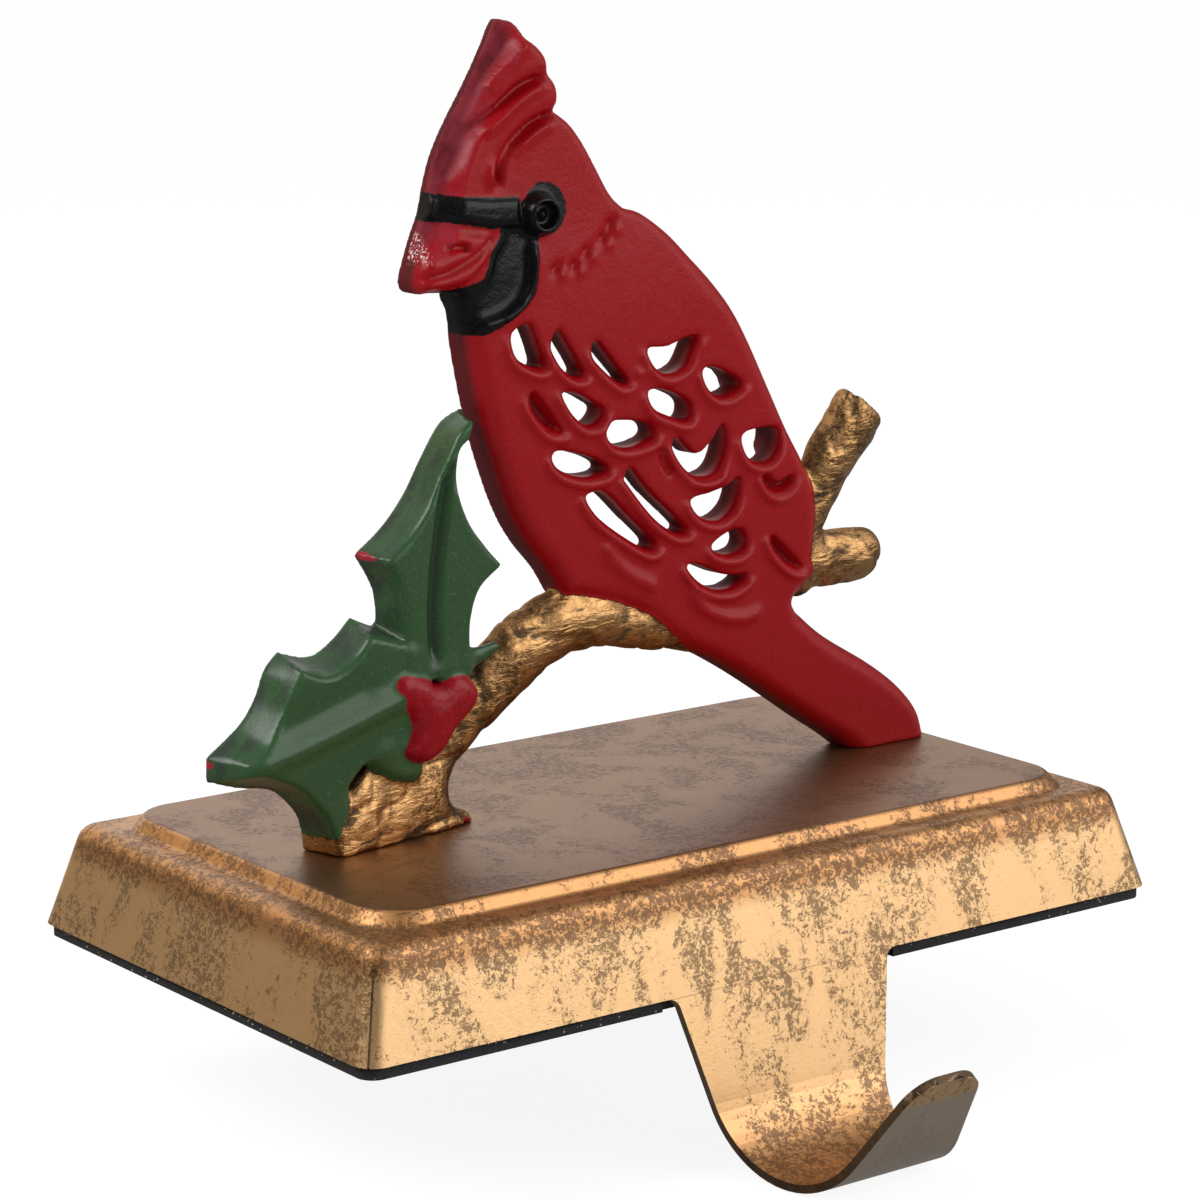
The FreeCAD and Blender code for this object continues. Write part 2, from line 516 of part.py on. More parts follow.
def scaled(length):
    """A length of the casting's drawing at the size that fits the base."""
    tail_foot_x = BIRD_OUTLINE["tail foot"][0][0]
    return length * (BASE_WIDTH / 2 - TAIL_MARGIN) / tail_foot_x


def on_sheet(x, height, y):
    """A point of the casting's drawing, stood on the panel at depth y."""
    return Vec(scaled(x), y, PANEL_Z + scaled(height))


def smooth_edge(points):
    """One smooth curve through the points, or a straight line between two."""
    if len(points) == 2:
        return Part.makeLine(points[0], points[1])
    curve = Part.BSplineCurve()
    curve.interpolate(points)
    return curve.toShape()


def outline_wire(outline, y):
    """The closed wire of a named outline at depth y."""
    runs = list(outline.values())
    edges = []
    for i, run in enumerate(runs):
        following = runs[(i + 1) % len(runs)][0]
        edges.append(smooth_edge([on_sheet(x, height, y) for x, height in run + [following]]))
    return Part.Wire(edges)


def relief(outline, front, back):
    """A named outline given its depth from front to back."""
    return Part.Face(outline_wire(outline, back)).extrude(Vec(0, front - back, 0))


def face_depth(height):
    """The y of the bird's front face at a height, straight between the profile's points."""
    for (low, low_lean), (high, high_lean) in zip(FACE_LEAN, FACE_LEAN[1:]):
        if height <= high:
            share = max(0, (height - low) / (high - low))
            return BIRD_FRONT + low_lean + (high_lean - low_lean) * share
    return BIRD_FRONT + FACE_LEAN[-1][1]


def space_before_face():
    """The room in front of the leaning face, taken off the bird."""
    far = BIRD_FRONT - LEAN_CUT_MARGIN
    low, high = FACE_LEAN[0][0], FACE_LEAN[-1][0]
    top = high + LEAN_CUT_MARGIN
    side = -BASE_WIDTH / 2 / scaled(1)
    face = [on_sheet(side, height, BIRD_FRONT + lean) for height, lean in FACE_LEAN]
    edges = [
        Part.makeLine(on_sheet(side, low, far), face[0]),
        smooth_edge(face),
        Part.makeLine(face[-1], on_sheet(side, top, face[-1].y)),
        Part.makeLine(on_sheet(side, top, face[-1].y), on_sheet(side, top, far)),
        Part.makeLine(on_sheet(side, top, far), on_sheet(side, low, far)),
    ]
    return Part.Face(Part.Wire(edges)).extrude(Vec(BASE_WIDTH, 0, 0))


def middle_normal(face):
    """The direction a face looks in at the middle of its surface."""
    u_low, u_high, v_low, v_high = face.ParameterRange
    return face.normalAt((u_low + u_high) / 2, (v_low + v_high) / 2)


def front_rim(solid):
    """The edges between the front face and the side walls, above the feet."""
    found = []
    for edge in solid.Edges:
        if edge.BoundBox.ZMax < PANEL_Z + 0.5:
            continue
        looks = [middle_normal(f).y for f in solid.Faces if any(e.isSame(edge) for e in f.Edges)]
        if len(looks) == 2 and min(looks) < -0.9 and abs(max(looks)) < 0.1:
            found.append(edge)
    return found


def bird_body():
    """The bird with its leaning face and rounded front rim."""
    body = relief(BIRD_OUTLINE, BIRD_FRONT, CAST_BACK).cut(space_before_face())
    return body.makeFillet(scaled(BIRD_ROUNDING), front_rim(body))


def loop_cut(loop, front_y, back_y):
    """The space inside a smooth closed loop, from front_y to back_y."""
    curve = Part.BSplineCurve()
    curve.interpolate([on_sheet(x, height, front_y) for x, height in loop], True)
    return Part.Face(Part.Wire([curve.toShape()])).extrude(Vec(0, back_y - front_y, 0))


def wing_cuts():
    """The dish in the back, and all feathers, pierced through or cut to a depth."""
    front_y = BIRD_FRONT - CUT_MARGIN
    back_y = CAST_BACK + CUT_MARGIN
    cuts = [loop_cut(WING_DISH, CAST_BACK - DISH_DEPTH, back_y)]
    cuts += [loop_cut(loop, front_y, back_y) for loop in PIERCED_FEATHERS]
    return cuts + [loop_cut(loop, front_y, BIRD_FRONT + HOLLOW_DEPTH) for loop in HOLLOW_FEATHERS]


def bar_along(points, radii):
    """A round bar through points, with a radius at each."""
    rings = []
    for i, (point, radius) in enumerate(zip(points, radii)):
        heading = points[min(i + 1, len(points) - 1)] - points[max(i - 1, 0)]
        rings.append(Part.Wire([Part.Circle(point, heading.normalize(), scaled(radius)).toShape()]))
    return Part.makeLoft(rings, True, False)


def line_on_face(line, sink):
    """A bar along (x, height, radius) points laid on the bird's face and sunk into it."""
    points = [on_sheet(x, height, face_depth(height) + sink) for x, height, radius in line]
    return bar_along(points, [radius for x, height, radius in line])


def head_raised_parts():
    """The brow band, the eye and the rim of the throat patch."""
    eye_x, eye_height = EYE_PLACE
    eye = on_sheet(eye_x, eye_height, face_depth(eye_height) - EYE_PROUD)
    band = relief(BROW_BAND, face_depth(eye_height) - BAND_PROUD, 0)
    ring = Part.makeCylinder(scaled(EYE_RADIUS), -eye.y, eye, Vec(0, 1, 0))
    ring = ring.cut(Part.makeCylinder(scaled(IRIS_RADIUS), IRIS_SINK, eye, Vec(0, 1, 0)))
    pupil = Part.makeSphere(scaled(PUPIL_RADIUS), eye + Vec(0, IRIS_SINK, 0))
    return [band, ring, pupil, line_on_face(THROAT_RIM, THROAT_SINK)]


def head_carvings():
    """Grooves between the crest feathers, the beak's split, the nostril and cheek dimples."""
    cuts = [line_on_face(groove, -GROOVE_RAISE) for groove in CREST_GROOVES]
    cuts.append(line_on_face(BEAK_SPLIT, 0))
    for x, height in [NOSTRIL] + CHEEK_DIMPLES:
        cuts.append(Part.makeSphere(scaled(DIMPLE_RADIUS), on_sheet(x, height, face_depth(height))))
    return cuts


def leaf(back_outline, front_outline):
    """A thick holly leaf whose sides slope from the wider back to the front face."""
    return Part.makeLoft([outline_wire(back_outline, LEAF_BACK), outline_wire(front_outline, LEAF_FRONT)],
                         True, True)


def leaf_rib(rib):
    """A round bar half sunk in a leaf's face, along (x, height, radius) points."""
    return bar_along([on_sheet(x, height, LEAF_FRONT + RIB_SINK) for x, height, radius in rib],
                     [radius for x, height, radius in rib])


def holly_leaves():
    """Both leaves, the upper with a cut midrib and the lower with a raised one."""
    upper = leaf(UPPER_LEAF_BACK, UPPER_LEAF_FRONT).cut(leaf_rib(UPPER_RIB))
    lower = leaf(LOWER_LEAF_BACK, LOWER_LEAF_FRONT).fuse(leaf_rib(LOWER_RIB))
    return [upper, lower]


def berry_cluster():
    """Berries around a middle one, whose stalk joins them to the branch."""
    parts = []
    for x, height, radius in BERRIES:
        parts.append(Part.makeSphere(scaled(radius), on_sheet(x, height, BERRY_MIDDLE)))
    x, height, radius = BERRIES[0]
    stalk_length = BRANCH_MIDDLE - BERRY_MIDDLE + STALK_BITE
    parts.append(Part.makeCylinder(scaled(radius) - STALK_STEP, stalk_length,
                                   on_sheet(x, height, BERRY_MIDDLE), Vec(0, 1, 0)))
    return parts


def flat_bar(line):
    """A bar along (x, height, radius) points with its section flattened in depth."""
    points = [on_sheet(x, height, 0) for x, height, radius in line]
    bar = bar_along(points, [radius for x, height, radius in line])
    flatten = FreeCAD.Matrix()
    flatten.scale(1, BRANCH_FLATNESS, 1)
    bar = bar.transformGeometry(flatten)
    bar.translate(Vec(0, BRANCH_MIDDLE, 0))
    return bar


def branch_foot():
    """The spreading foot of the branch; its front runs back toward the toe."""
    block = relief(BRANCH_FOOT_OUTLINE, LEAF_FRONT - CUT_MARGIN, CAST_BACK - FOOT_BACK_STEP)
    corners = [on_sheet(x, 0, y) for x, y in BRANCH_FOOT_PLAN]
    foot_top = max(height for run in BRANCH_FOOT_OUTLINE.values() for x, height in run)
    rise = Vec(0, 0, scaled(foot_top) + CUT_MARGIN)
    return block.common(Part.Face(Part.makePolygon(corners + [corners[0]])).extrude(rise))


def cardinal_casting():
    """Bird, branch, leaves and berries as the one piece they are cast in."""
    bird = bird_body().fuse(head_raised_parts()).cut(wing_cuts() + head_carvings())
    branch = [flat_bar(line) for line in (BRANCH_STEM, UPPER_TWIG, LOWER_TWIG)] + [branch_foot()]
    casting = bird.fuse(branch + holly_leaves() + berry_cluster()).removeSplitter()
    casting.translate(Vec(0, FIGURE_Y, 0))
    holes = upright_holes(SCREW_SHANK / 2 + THREAD_GAP, PANEL_Z - 1, PANEL_Z + SCREW_BITE + SCREW_END_ROOM)
    return casting.cut(holes)


PARTS = {
    "base_shell": base_shell(),
    "cardinal_casting": cardinal_casting(),
    "base_weight": base_weight(),
    "foot_pad": foot_pad(),
    "casting_screws": casting_screws(),
}
for name, shape in PARTS.items():
    box = shape.BoundBox
    print(name, "valid" if shape.isValid() else "NOT VALID", len(shape.Solids), "solid(s)",
          "%.1f x %.1f x %.1f mm" % (box.XLength, box.YLength, box.ZLength))
    shape.exportStep("parts/" + name + ".step")
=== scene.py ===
# %% [markdown]
# # A mantel stocking holder, dressed for the camera
#
# The real object has two worlds in it. The base is pressed sheet steel: crisp, even, and
# painted antique gold with a sponged brown patina. On it stands one rough zinc casting, a
# cardinal on a branch with holly, whose edges are soft because molten metal and three coats
# of paint rounded them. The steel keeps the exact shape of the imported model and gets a
# finish. The casting is sculpted again here, because its soft lips, dimples and bark are
# what the eye goes to first.

# %% The frame
import math
import bpy
import numpy as np
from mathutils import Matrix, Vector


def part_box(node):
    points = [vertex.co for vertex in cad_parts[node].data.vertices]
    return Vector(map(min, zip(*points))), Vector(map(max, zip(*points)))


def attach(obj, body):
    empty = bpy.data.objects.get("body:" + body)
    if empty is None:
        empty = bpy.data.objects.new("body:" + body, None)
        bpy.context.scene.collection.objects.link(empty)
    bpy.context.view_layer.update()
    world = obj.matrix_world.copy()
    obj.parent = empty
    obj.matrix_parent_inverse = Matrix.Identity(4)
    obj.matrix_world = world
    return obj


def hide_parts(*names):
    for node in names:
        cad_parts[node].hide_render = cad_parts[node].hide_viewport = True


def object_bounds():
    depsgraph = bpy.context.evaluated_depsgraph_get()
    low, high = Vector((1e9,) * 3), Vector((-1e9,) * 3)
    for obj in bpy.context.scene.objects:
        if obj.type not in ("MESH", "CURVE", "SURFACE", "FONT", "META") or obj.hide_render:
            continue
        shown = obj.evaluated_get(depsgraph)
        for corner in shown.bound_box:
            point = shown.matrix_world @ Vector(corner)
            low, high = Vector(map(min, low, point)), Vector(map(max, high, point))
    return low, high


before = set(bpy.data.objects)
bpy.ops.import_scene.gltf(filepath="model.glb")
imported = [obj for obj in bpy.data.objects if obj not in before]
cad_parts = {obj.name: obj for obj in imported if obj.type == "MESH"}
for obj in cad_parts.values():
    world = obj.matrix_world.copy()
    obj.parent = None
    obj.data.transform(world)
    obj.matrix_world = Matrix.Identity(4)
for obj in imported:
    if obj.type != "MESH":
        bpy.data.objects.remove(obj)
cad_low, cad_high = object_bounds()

import openvdb
from mathutils import Vector

MM = 0.001  # one millimetre in metres, the unit of the scene
print("CAD nodes:", ", ".join(sorted(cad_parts)))
print("CAD box in mm:", [round(v / MM, 1) for v in (*cad_low, *cad_high)])

# %% [markdown]
# ## Small helpers for shader trees
#
# Every finish below is a tree of nodes. By code that is wordy, so a few helpers keep it short.
# `add` makes a node and fills its sockets, `blend` mixes two colours, and `sums` and `times` do
# arithmetic.

# %% Shader helpers
def feed(tree, node, sockets):
    """Fills a node's inputs, by name or number, with values or with other nodes' outputs."""
    for socket, value in dict(sockets).items():
        if isinstance(value, bpy.types.NodeSocket):
            tree.links.new(value, node.inputs[socket])
        else:
            node.inputs[socket].default_value = value


def add(tree, kind, sockets=(), **settings):
    """A new node. A kind without a prefix is a shader node's."""
    node = tree.nodes.new(kind if "Node" in kind else "ShaderNode" + kind)
    for setting, value in settings.items():
        setattr(node, setting, value)
    feed(tree, node, sockets)
    return node


def sums(tree, operation, *values):
    """The result of a Math node."""
    return add(tree, "Math", dict(enumerate(values)), operation=operation).outputs[0]


def times(tree, first, second):
    """One value times another."""
    return sums(tree, "MULTIPLY", first, second)


def blend(tree, factor, first, second, how="MIX", most=1.0):
    """The second colour laid over the first by a factor, which most can thin out."""
    if most < 1.0:
        factor = times(tree, factor, most)
    mix = add(tree, "Mix", {0: factor, 6: first, 7: second}, data_type="RGBA", blend_type=how)
    return mix.outputs[2]


def between(tree, value, low, high, to_low=0.0, to_high=1.0):
    """A value eased from one range into another, and clamped there."""
    sockets = {"Value": value, "From Min": low, "From Max": high, "To Min": to_low, "To Max": to_high}
    return add(tree, "MapRange", sockets, interpolation_type="SMOOTHSTEP").outputs[0]


def noise(tree, place, scale, detail=2.0, rough=0.5, warp=0.0):
    """Fractal noise from 0 to 1. scale is in features per metre."""
    sockets = {"Vector": place, "Scale": scale, "Detail": detail, "Roughness": rough, "Distortion": warp}
    return add(tree, "TexNoise", sockets).outputs[0]


def bump(tree, height, depth):
    """Surface normals that read a height from 0 to 1 as that depth in metres."""
    return add(tree, "Bump", {"Height": height, "Distance": depth}).outputs[0]


def place_in(tree):
    """The point being shaded, in the object's own metres."""
    return add(tree, "TexCoord").outputs["Object"]


def read(tree, name):
    """One of the mesh's own values, which the script stores below."""
    return add(tree, "Attribute", attribute_name=name).outputs["Fac"]


def paint(red, green, blue):
    """A colour given as a screen shows it, from 0 to 255, in Blender's linear light."""
    def linear(level):
        share = level / 255
        return share / 12.92 if share <= 0.04045 else ((share + 0.055) / 1.055) ** 2.4
    return (linear(red), linear(green), linear(blue), 1.0)


def new_material(name):
    """A material whose tree holds only a Principled shader on its way out."""
    material = bpy.data.materials.new(name)
    material.use_nodes = True
    tree = material.node_tree
    tree.nodes.clear()
    shader = add(tree, "BsdfPrincipled")
    add(tree, "OutputMaterial", {"Surface": shader.outputs[0]})
    return material, tree, shader

# %% [markdown]
# ## Antique gold
#
# The steel was sprayed pale gold, then dabbed with a sponge that left islands of dark brown
# specks, and the islands lean one way because the hand moved one way. Three noises make it:
# a broad, slanted one says where the sponge touched, and two finer ones are its texture. The
# fine ones are cut at a level that the broad one raises and lowers, so that each island is
# dense in its middle and frays at its rim. The branch of the casting has the same gold, so
# the effect is a group.

# %% Antique gold group
ISLANDS, DABS, SPECKS, GRAIN = 85.0, 950.0, 2300.0, 2600.0
SLANT = {"Rotation": (0.35, 0.6, 0.25), "Scale": (1.0, 1.0, 0.45)}
DAB_SHARE = 0.55
HAZE_COVER, SPECK_COVER = 0.30, 0.66
SPARSE_LEVEL, DENSE_DROP = 0.640, -0.17
GOLD_ROUGHNESS, DULLER = 0.46, 0.12


def antique_gold_group():
    """Place, colours and strength in; colour, roughness and height out."""
    group = bpy.data.node_groups.new("Antique gold", "ShaderNodeTree")
    for way, names in (("INPUT", {"Place": "Vector", "Patina": "Float", "Gold": "Color", "Brown": "Color"}),
                       ("OUTPUT", {"Color": "Color", "Roughness": "Float", "Height": "Float"})):
        for name, kind in names.items():
            group.interface.new_socket(name, in_out=way, socket_type="NodeSocket" + kind)
    given = add(group, "NodeGroupInput").outputs
    place, gold, brown = given["Place"], given["Gold"], given["Brown"]
    slanted = add(group, "Mapping", {"Vector": place, **SLANT}).outputs[0]
    islands = noise(group, slanted, ISLANDS, 4.0, 0.62, 0.8)
    dabs = noise(group, place, DABS, 3.0, 0.66, 0.7)
    specks = noise(group, place, SPECKS, 2.0, 0.7, 0.6)
    grain = noise(group, place, GRAIN, 2.0, 0.6)
    reach = sums(group, "ADD", islands, sums(group, "MULTIPLY_ADD", given["Patina"], 0.5, -0.25))
    dense = between(group, reach, 0.36, 0.60)
    level = sums(group, "MULTIPLY_ADD", dense, DENSE_DROP, SPARSE_LEVEL)
    sponge = sums(group, "MULTIPLY_ADD", specks, 1 - DAB_SHARE, times(group, dabs, DAB_SHARE))
    speck_mask = between(group, sums(group, "SUBTRACT", sponge, level), -0.03, 0.06)
    haze = times(group, between(group, dabs, 0.36, 0.66), times(group, dense, HAZE_COVER))
    hazed = blend(group, haze, gold, brown)
    dull = sums(group, "MAXIMUM", speck_mask, haze)
    add(group, "NodeGroupOutput", {
        "Color": blend(group, speck_mask, hazed, brown, most=SPECK_COVER),
        "Roughness": sums(group, "MULTIPLY_ADD", dull, DULLER, GOLD_ROUGHNESS),
        "Height": sums(group, "MULTIPLY_ADD", speck_mask, 0.5, times(group, grain, 0.5))})
    return group


gold_group = antique_gold_group()

# %% Gold on the pressed steel
# The copper tints the cove and the curl's bottom: partly a real copper tone, partly painted shade.
STEEL_GOLD, STEEL_BROWN, COPPER_SHADE_TINT = paint(214, 174, 124), paint(104, 76, 46), paint(208, 172, 130)
COPPER_SHADE_COVER = 0.72
# Zones over the gold: dark sheared edges; painted shade, a darker brown, on the panel's top; and a painted
# reflection of the pale floor, greyer, on faces of the hook that look down.
STEEL_ZONES = [("cut_edge", 0.85, paint(60, 42, 27)), ("panel_painted_shade", 0.66, paint(100, 64, 40)),
               ("painted_floor_reflection", 0.84, paint(176, 165, 154))]
PATINA, PATINA_AND_SHADE_GAIN = 0.5, 0.22
# Where the patina grows denser and copper tints the gold: the cove under the panel's edge and the bottom of
# the hook's curl. Partly real patina, partly painted shade.
COVE_LOW, COVE_FULL = 8.5 * MM, 5.0 * MM
COVE_END, COVE_FADE = 1.2 * MM, 3.4 * MM
BEND_HIGH, BEND_FULL = 14 * MM, 1 * MM
GOLD_BUMP = 0.05 * MM


def steel_finish():
    """Antique gold, dark brown on the cut edges, with painted shade: dark brown on the panel's top, copper
    and denser patina in the cove and the curl's bottom, and a greyer painted floor reflection where the hook
    faces down.
    """
    material, tree, shader = new_material("antique_gold_on_steel")
    place = place_in(tree)
    height = add(tree, "SeparateXYZ", {0: place}).outputs[2]
    low, high = (corner.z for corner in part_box("base_shell"))
    cove = between(tree, height, high - COVE_LOW, high - COVE_FULL)
    shoulder = times(tree, cove, between(tree, height, high - COVE_END, high - COVE_FADE))
    bend = between(tree, height, low + BEND_HIGH, low + BEND_FULL)
    patina_and_shade = sums(tree, "MAXIMUM", shoulder, bend)
    patina = sums(tree, "MULTIPLY_ADD", patina_and_shade, PATINA_AND_SHADE_GAIN, PATINA)
    sockets = {"Place": place, "Gold": STEEL_GOLD, "Brown": STEEL_BROWN, "Patina": patina}
    gold = add(tree, "Group", sockets, node_tree=gold_group).outputs
    # Painted shade with a copper tone over the cove and the curl's bottom.
    copper_and_shade = sums(tree, "MAXIMUM", cove, bend)
    colour = blend(tree, copper_and_shade, gold["Color"], COPPER_SHADE_TINT, "MULTIPLY", most=COPPER_SHADE_COVER)
    for zone, cover, zone_colour in STEEL_ZONES:
        colour = blend(tree, read(tree, zone), colour, zone_colour, most=cover)
    feed(tree, shader, {"Base Color": colour, "Metallic": 1.0, "Roughness": gold["Roughness"],
                        "Normal": bump(tree, gold["Height"], GOLD_BUMP),
                        "Coat Weight": 0.45, "Coat Roughness": 0.38})
    return material


base_gold = steel_finish()

# %% [markdown]
# ## The pressed base
#
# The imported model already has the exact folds, so a copy of its node is dressed. Packed
# meshes are loose triangles, which shade as flat facets. Merging their shared corners and
# weighting the normals by face area gives the long soft highlights of a pressed shoulder.

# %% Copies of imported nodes
WELD_REACH = 0.002 * MM
SHARP_ANGLE = 32


def in_scene(name, data):
    """A new object, linked to the scene."""
    made = bpy.data.objects.new(name, data)
    bpy.context.scene.collection.objects.link(made)
    return made


def bake_modifiers(piece):
    """The piece's evaluated mesh takes the place of its modifiers."""
    depsgraph = bpy.context.evaluated_depsgraph_get()
    made = bpy.data.meshes.new_from_object(piece.evaluated_get(depsgraph), depsgraph=depsgraph)
    piece.modifiers.clear()
    piece.data = made


def copy_of_node(node_name, piece_name):
    """A merged, smooth-shaded copy of a CAD node as a piece of its own."""
    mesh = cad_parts[node_name].data.copy()
    mesh.name = piece_name
    piece = in_scene(piece_name, mesh)
    if mesh.has_custom_normals:
        mesh.normals_split_custom_set([(0, 0, 0)] * len(mesh.loops))
    weld = piece.modifiers.new("weld", "WELD")
    weld.merge_threshold = WELD_REACH
    bake_modifiers(piece)
    piece.data.shade_smooth()
    piece.data.set_sharp_from_angle(angle=math.radians(SHARP_ANGLE))
    weighting = piece.modifiers.new("weights", "WEIGHTED_NORMAL")
    weighting.mode = "FACE_AREA_WITH_ANGLE"
    weighting.keep_sharp = True
    bake_modifiers(piece)
    piece.data.materials.clear()
    return piece


def store(mesh, name, values, domain="POINT"):
    """One number for each vertex or face, for a material to read."""
    attribute = mesh.attributes.new(name, "FLOAT", domain)
    attribute.data.foreach_set("value", np.asarray(values, np.float32))

# %% Base shell
PAD_REVEAL = 2.0
RIM_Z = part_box("foot_pad")[0].z + PAD_REVEAL * MM
LIP_FACING = Vector((0.0, 0.8, 0.6))
LIP_REACH = 5.0
FLOOR_REFLECTION_BELOW_RIM = 10.0


def face_zones(mesh):
    """For each face: is it a sheared edge, how much painted floor reflection it gets where the hook looks
    down, and is it on the panel's top, which gets painted shade.
    """
    front_y, panel_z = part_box("base_shell")[0].y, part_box("base_shell")[1].z
    zones = {"cut_edge": [], "painted_floor_reflection": [], "panel_painted_shade": []}
    for face in mesh.polygons:
        normal, middle = face.normal, face.center
        tongue_edge = middle.z < RIM_Z and abs(normal.x) > 0.3
        lip_end = middle.y < front_y + LIP_REACH * MM and abs(normal.dot(LIP_FACING)) < 0.93
        rim_edge = normal.z < -0.9 and abs(middle.z - RIM_Z) < 0.2 * MM
        # Painted floor reflection: the more a face below the rim looks down, the greyer it is painted.
        floor_reflection_share = min(1.0, max(0.0, -2.5 * normal.z - 0.5))
        zones["cut_edge"].append(tongue_edge or lip_end or rim_edge)
        zones["painted_floor_reflection"].append(floor_reflection_share if middle.z < RIM_Z - FLOOR_REFLECTION_BELOW_RIM * MM else 0.0)
        # Painted shade: the panel's top face is painted a darker brown.
        zones["panel_painted_shade"].append(normal.z > 0.9 and middle.z > panel_z - 0.4 * MM)
    return zones


base = copy_of_node("base_shell", "pressed_base")
for zone_name, zone_values in face_zones(base.data).items():
    store(base.data, zone_name, zone_values, "FACE")
base.data.materials.append(base_gold)
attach(base, "root")
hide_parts("base_shell")
print("pressed base:", len(base.data.polygons), "faces")

# %% [markdown]
# The four corner seams of the sheet were folded tight and then filled with paint. A thin strip
# just under the surface closes each, so that it reads as a crease and not as a slot.

# %% Paint in the corner seams
SEAM_SPANS = [(0.1, 11.5, 0.36), (11.5, 12.9, 1.3)]
SEAM_DEPTH, SEAM_SUNK = 0.9, 0.08
SEAM_SHADE = 0.8
RIM_CORNER = 3.6
WALL_DRAFT = 0.265
BOX_FACES = [(0, 1, 2, 3), (7, 6, 5, 4)] + [(i, i + 4, (i + 1) % 4 + 4, (i + 1) % 4) for i in range(4)]


def seam_strips():
    """Corners and faces of upright strips along the corner edges, each wider at the top."""
    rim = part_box("base_shell")[1] / MM
    fold_x, fold_y = (reach - RIM_CORNER * (1 - math.sqrt(0.5)) - SEAM_SUNK for reach in (rim.x, rim.y))
    points, faces = [], []
    for side_x, side_y in ((-1, -1), (-1, 1), (1, -1), (1, 1)):
        inward = Vector((-side_x, -side_y, 0)).normalized() * SEAM_DEPTH
        for low, high, thick in SEAM_SPANS:
            across = Vector((-side_y, side_x, 0)).normalized() * thick / 2
            faces += [tuple(len(points) + i for i in face) for face in BOX_FACES]
            for height in (low, high):
                lean = WALL_DRAFT * height
                outer = Vector((side_x * (fold_x - lean), side_y * (fold_y - lean), RIM_Z / MM + height))
                points += [outer + across, outer - across, outer - across + inward, outer + across + inward]
    return points, faces


seam_points, seam_faces = seam_strips()
seam_mesh = bpy.data.meshes.new("corner_seams")
seam_mesh.from_pydata([point * MM for point in seam_points], [], seam_faces)
store(seam_mesh, "cut_edge", [SEAM_SHADE] * len(seam_mesh.vertices))
seam_mesh.materials.append(base_gold)
seams = in_scene("corner_seams", seam_mesh)
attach(seams, "root")

# %% [markdown]
# ## Pad, weight and screws
#
# The foam pad shows only as a thin black line. Its rubber was ground up and pressed together
# again, so pale crumbs sit in its sides: geometry nodes scatter them, half sunk. The iron
# weight and the screws are out of sight between pad and cover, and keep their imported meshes.

# %% Pad, weight and screws
def plain_finish(name, colour, roughness, metallic, grain_scale, grain_depth):
    """A single colour with grain."""
    material, tree, shader = new_material(name)
    grain = noise(tree, place_in(tree), grain_scale, 3.0, 0.7)
    darker, lighter = ([*(share * level for level in colour[:3]), 1.0] for share in (0.6, 1.4))
    feed(tree, shader, {"Base Color": blend(tree, grain, darker, lighter), "Roughness": roughness,
                        "Metallic": metallic, "Normal": bump(tree, grain, grain_depth * MM)})
    return material


pad = copy_of_node("foot_pad", "foam_pad")
pad.data.materials.append(plain_finish("foam_rubber", paint(30, 29, 30), 0.85, 0.0, 1400.0, 0.3))
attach(pad, "root")
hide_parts("foot_pad")

iron = plain_finish("cast_iron", paint(92, 92, 95), 0.6, 0.9, 500.0, 0.2)
zinc = plain_finish("zinc_plate", paint(190, 190, 196), 0.3, 1.0, 900.0, 0.02)
for node_name, finish in (("base_weight", iron), ("casting_screws", zinc)):
    node_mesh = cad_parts[node_name].data
    node_mesh.materials.clear()
    node_mesh.materials.append(finish)

# %% Crumbs in the pad's sides
CRUMB_RADIUS = 0.14
SMALLEST, LARGEST = 0.5, 1.4
UPRIGHT = 0.3


def crumb_nodes():
    """Geometry nodes that scatter little balls over a mesh's upright faces."""
    tree = bpy.data.node_groups.new("Foam crumbs", "GeometryNodeTree")
    inputs = {"Geometry": "Geometry", "Crumbs per square metre": "Float", "Radius": "Float",
              "Lowest height": "Float", "Seed": "Int", "Finish": "Material"}
    for name, kind in inputs.items():
        tree.interface.new_socket(name, in_out="INPUT", socket_type="NodeSocket" + kind)
    tree.interface.new_socket("Geometry", in_out="OUTPUT", socket_type="NodeSocketGeometry")

    def node(kind, sockets=(), **settings):
        return add(tree, kind, sockets, **settings).outputs

    given = node("NodeGroupInput")
    facing = node("SeparateXYZ", {0: node("GeometryNodeInputNormal")[0]})
    tilt = node("Math", {0: facing[2]}, operation="ABSOLUTE")
    upright = node("FunctionNodeCompare", {0: tilt[0], 1: UPRIGHT}, operation="LESS_THAN")
    scattered = node("GeometryNodeDistributePointsOnFaces",
                     {"Mesh": given["Geometry"], "Selection": upright[0], "Seed": given["Seed"],
                      "Density": given["Crumbs per square metre"]})
    place = node("SeparateXYZ", {0: node("GeometryNodeInputPosition")[0]})
    clear = node("FunctionNodeCompare", {0: place[2], 1: given["Lowest height"]}, operation="GREATER_THAN")
    ball = node("GeometryNodeMeshIcoSphere", {"Radius": given["Radius"], "Subdivisions": 1})
    sizes = node("FunctionNodeRandomValue", {2: SMALLEST, 3: LARGEST, "Seed": given["Seed"]})
    placed = node("GeometryNodeInstanceOnPoints",
                  {"Points": scattered["Points"], "Selection": clear[0], "Instance": ball["Mesh"],
                   "Scale": sizes[1]})
    real = node("GeometryNodeRealizeInstances", {"Geometry": placed[0]})
    dressed = node("GeometryNodeSetMaterial", {"Geometry": real[0], "Material": given["Finish"]})
    node("NodeGroupOutput", {"Geometry": dressed[0]})
    return tree


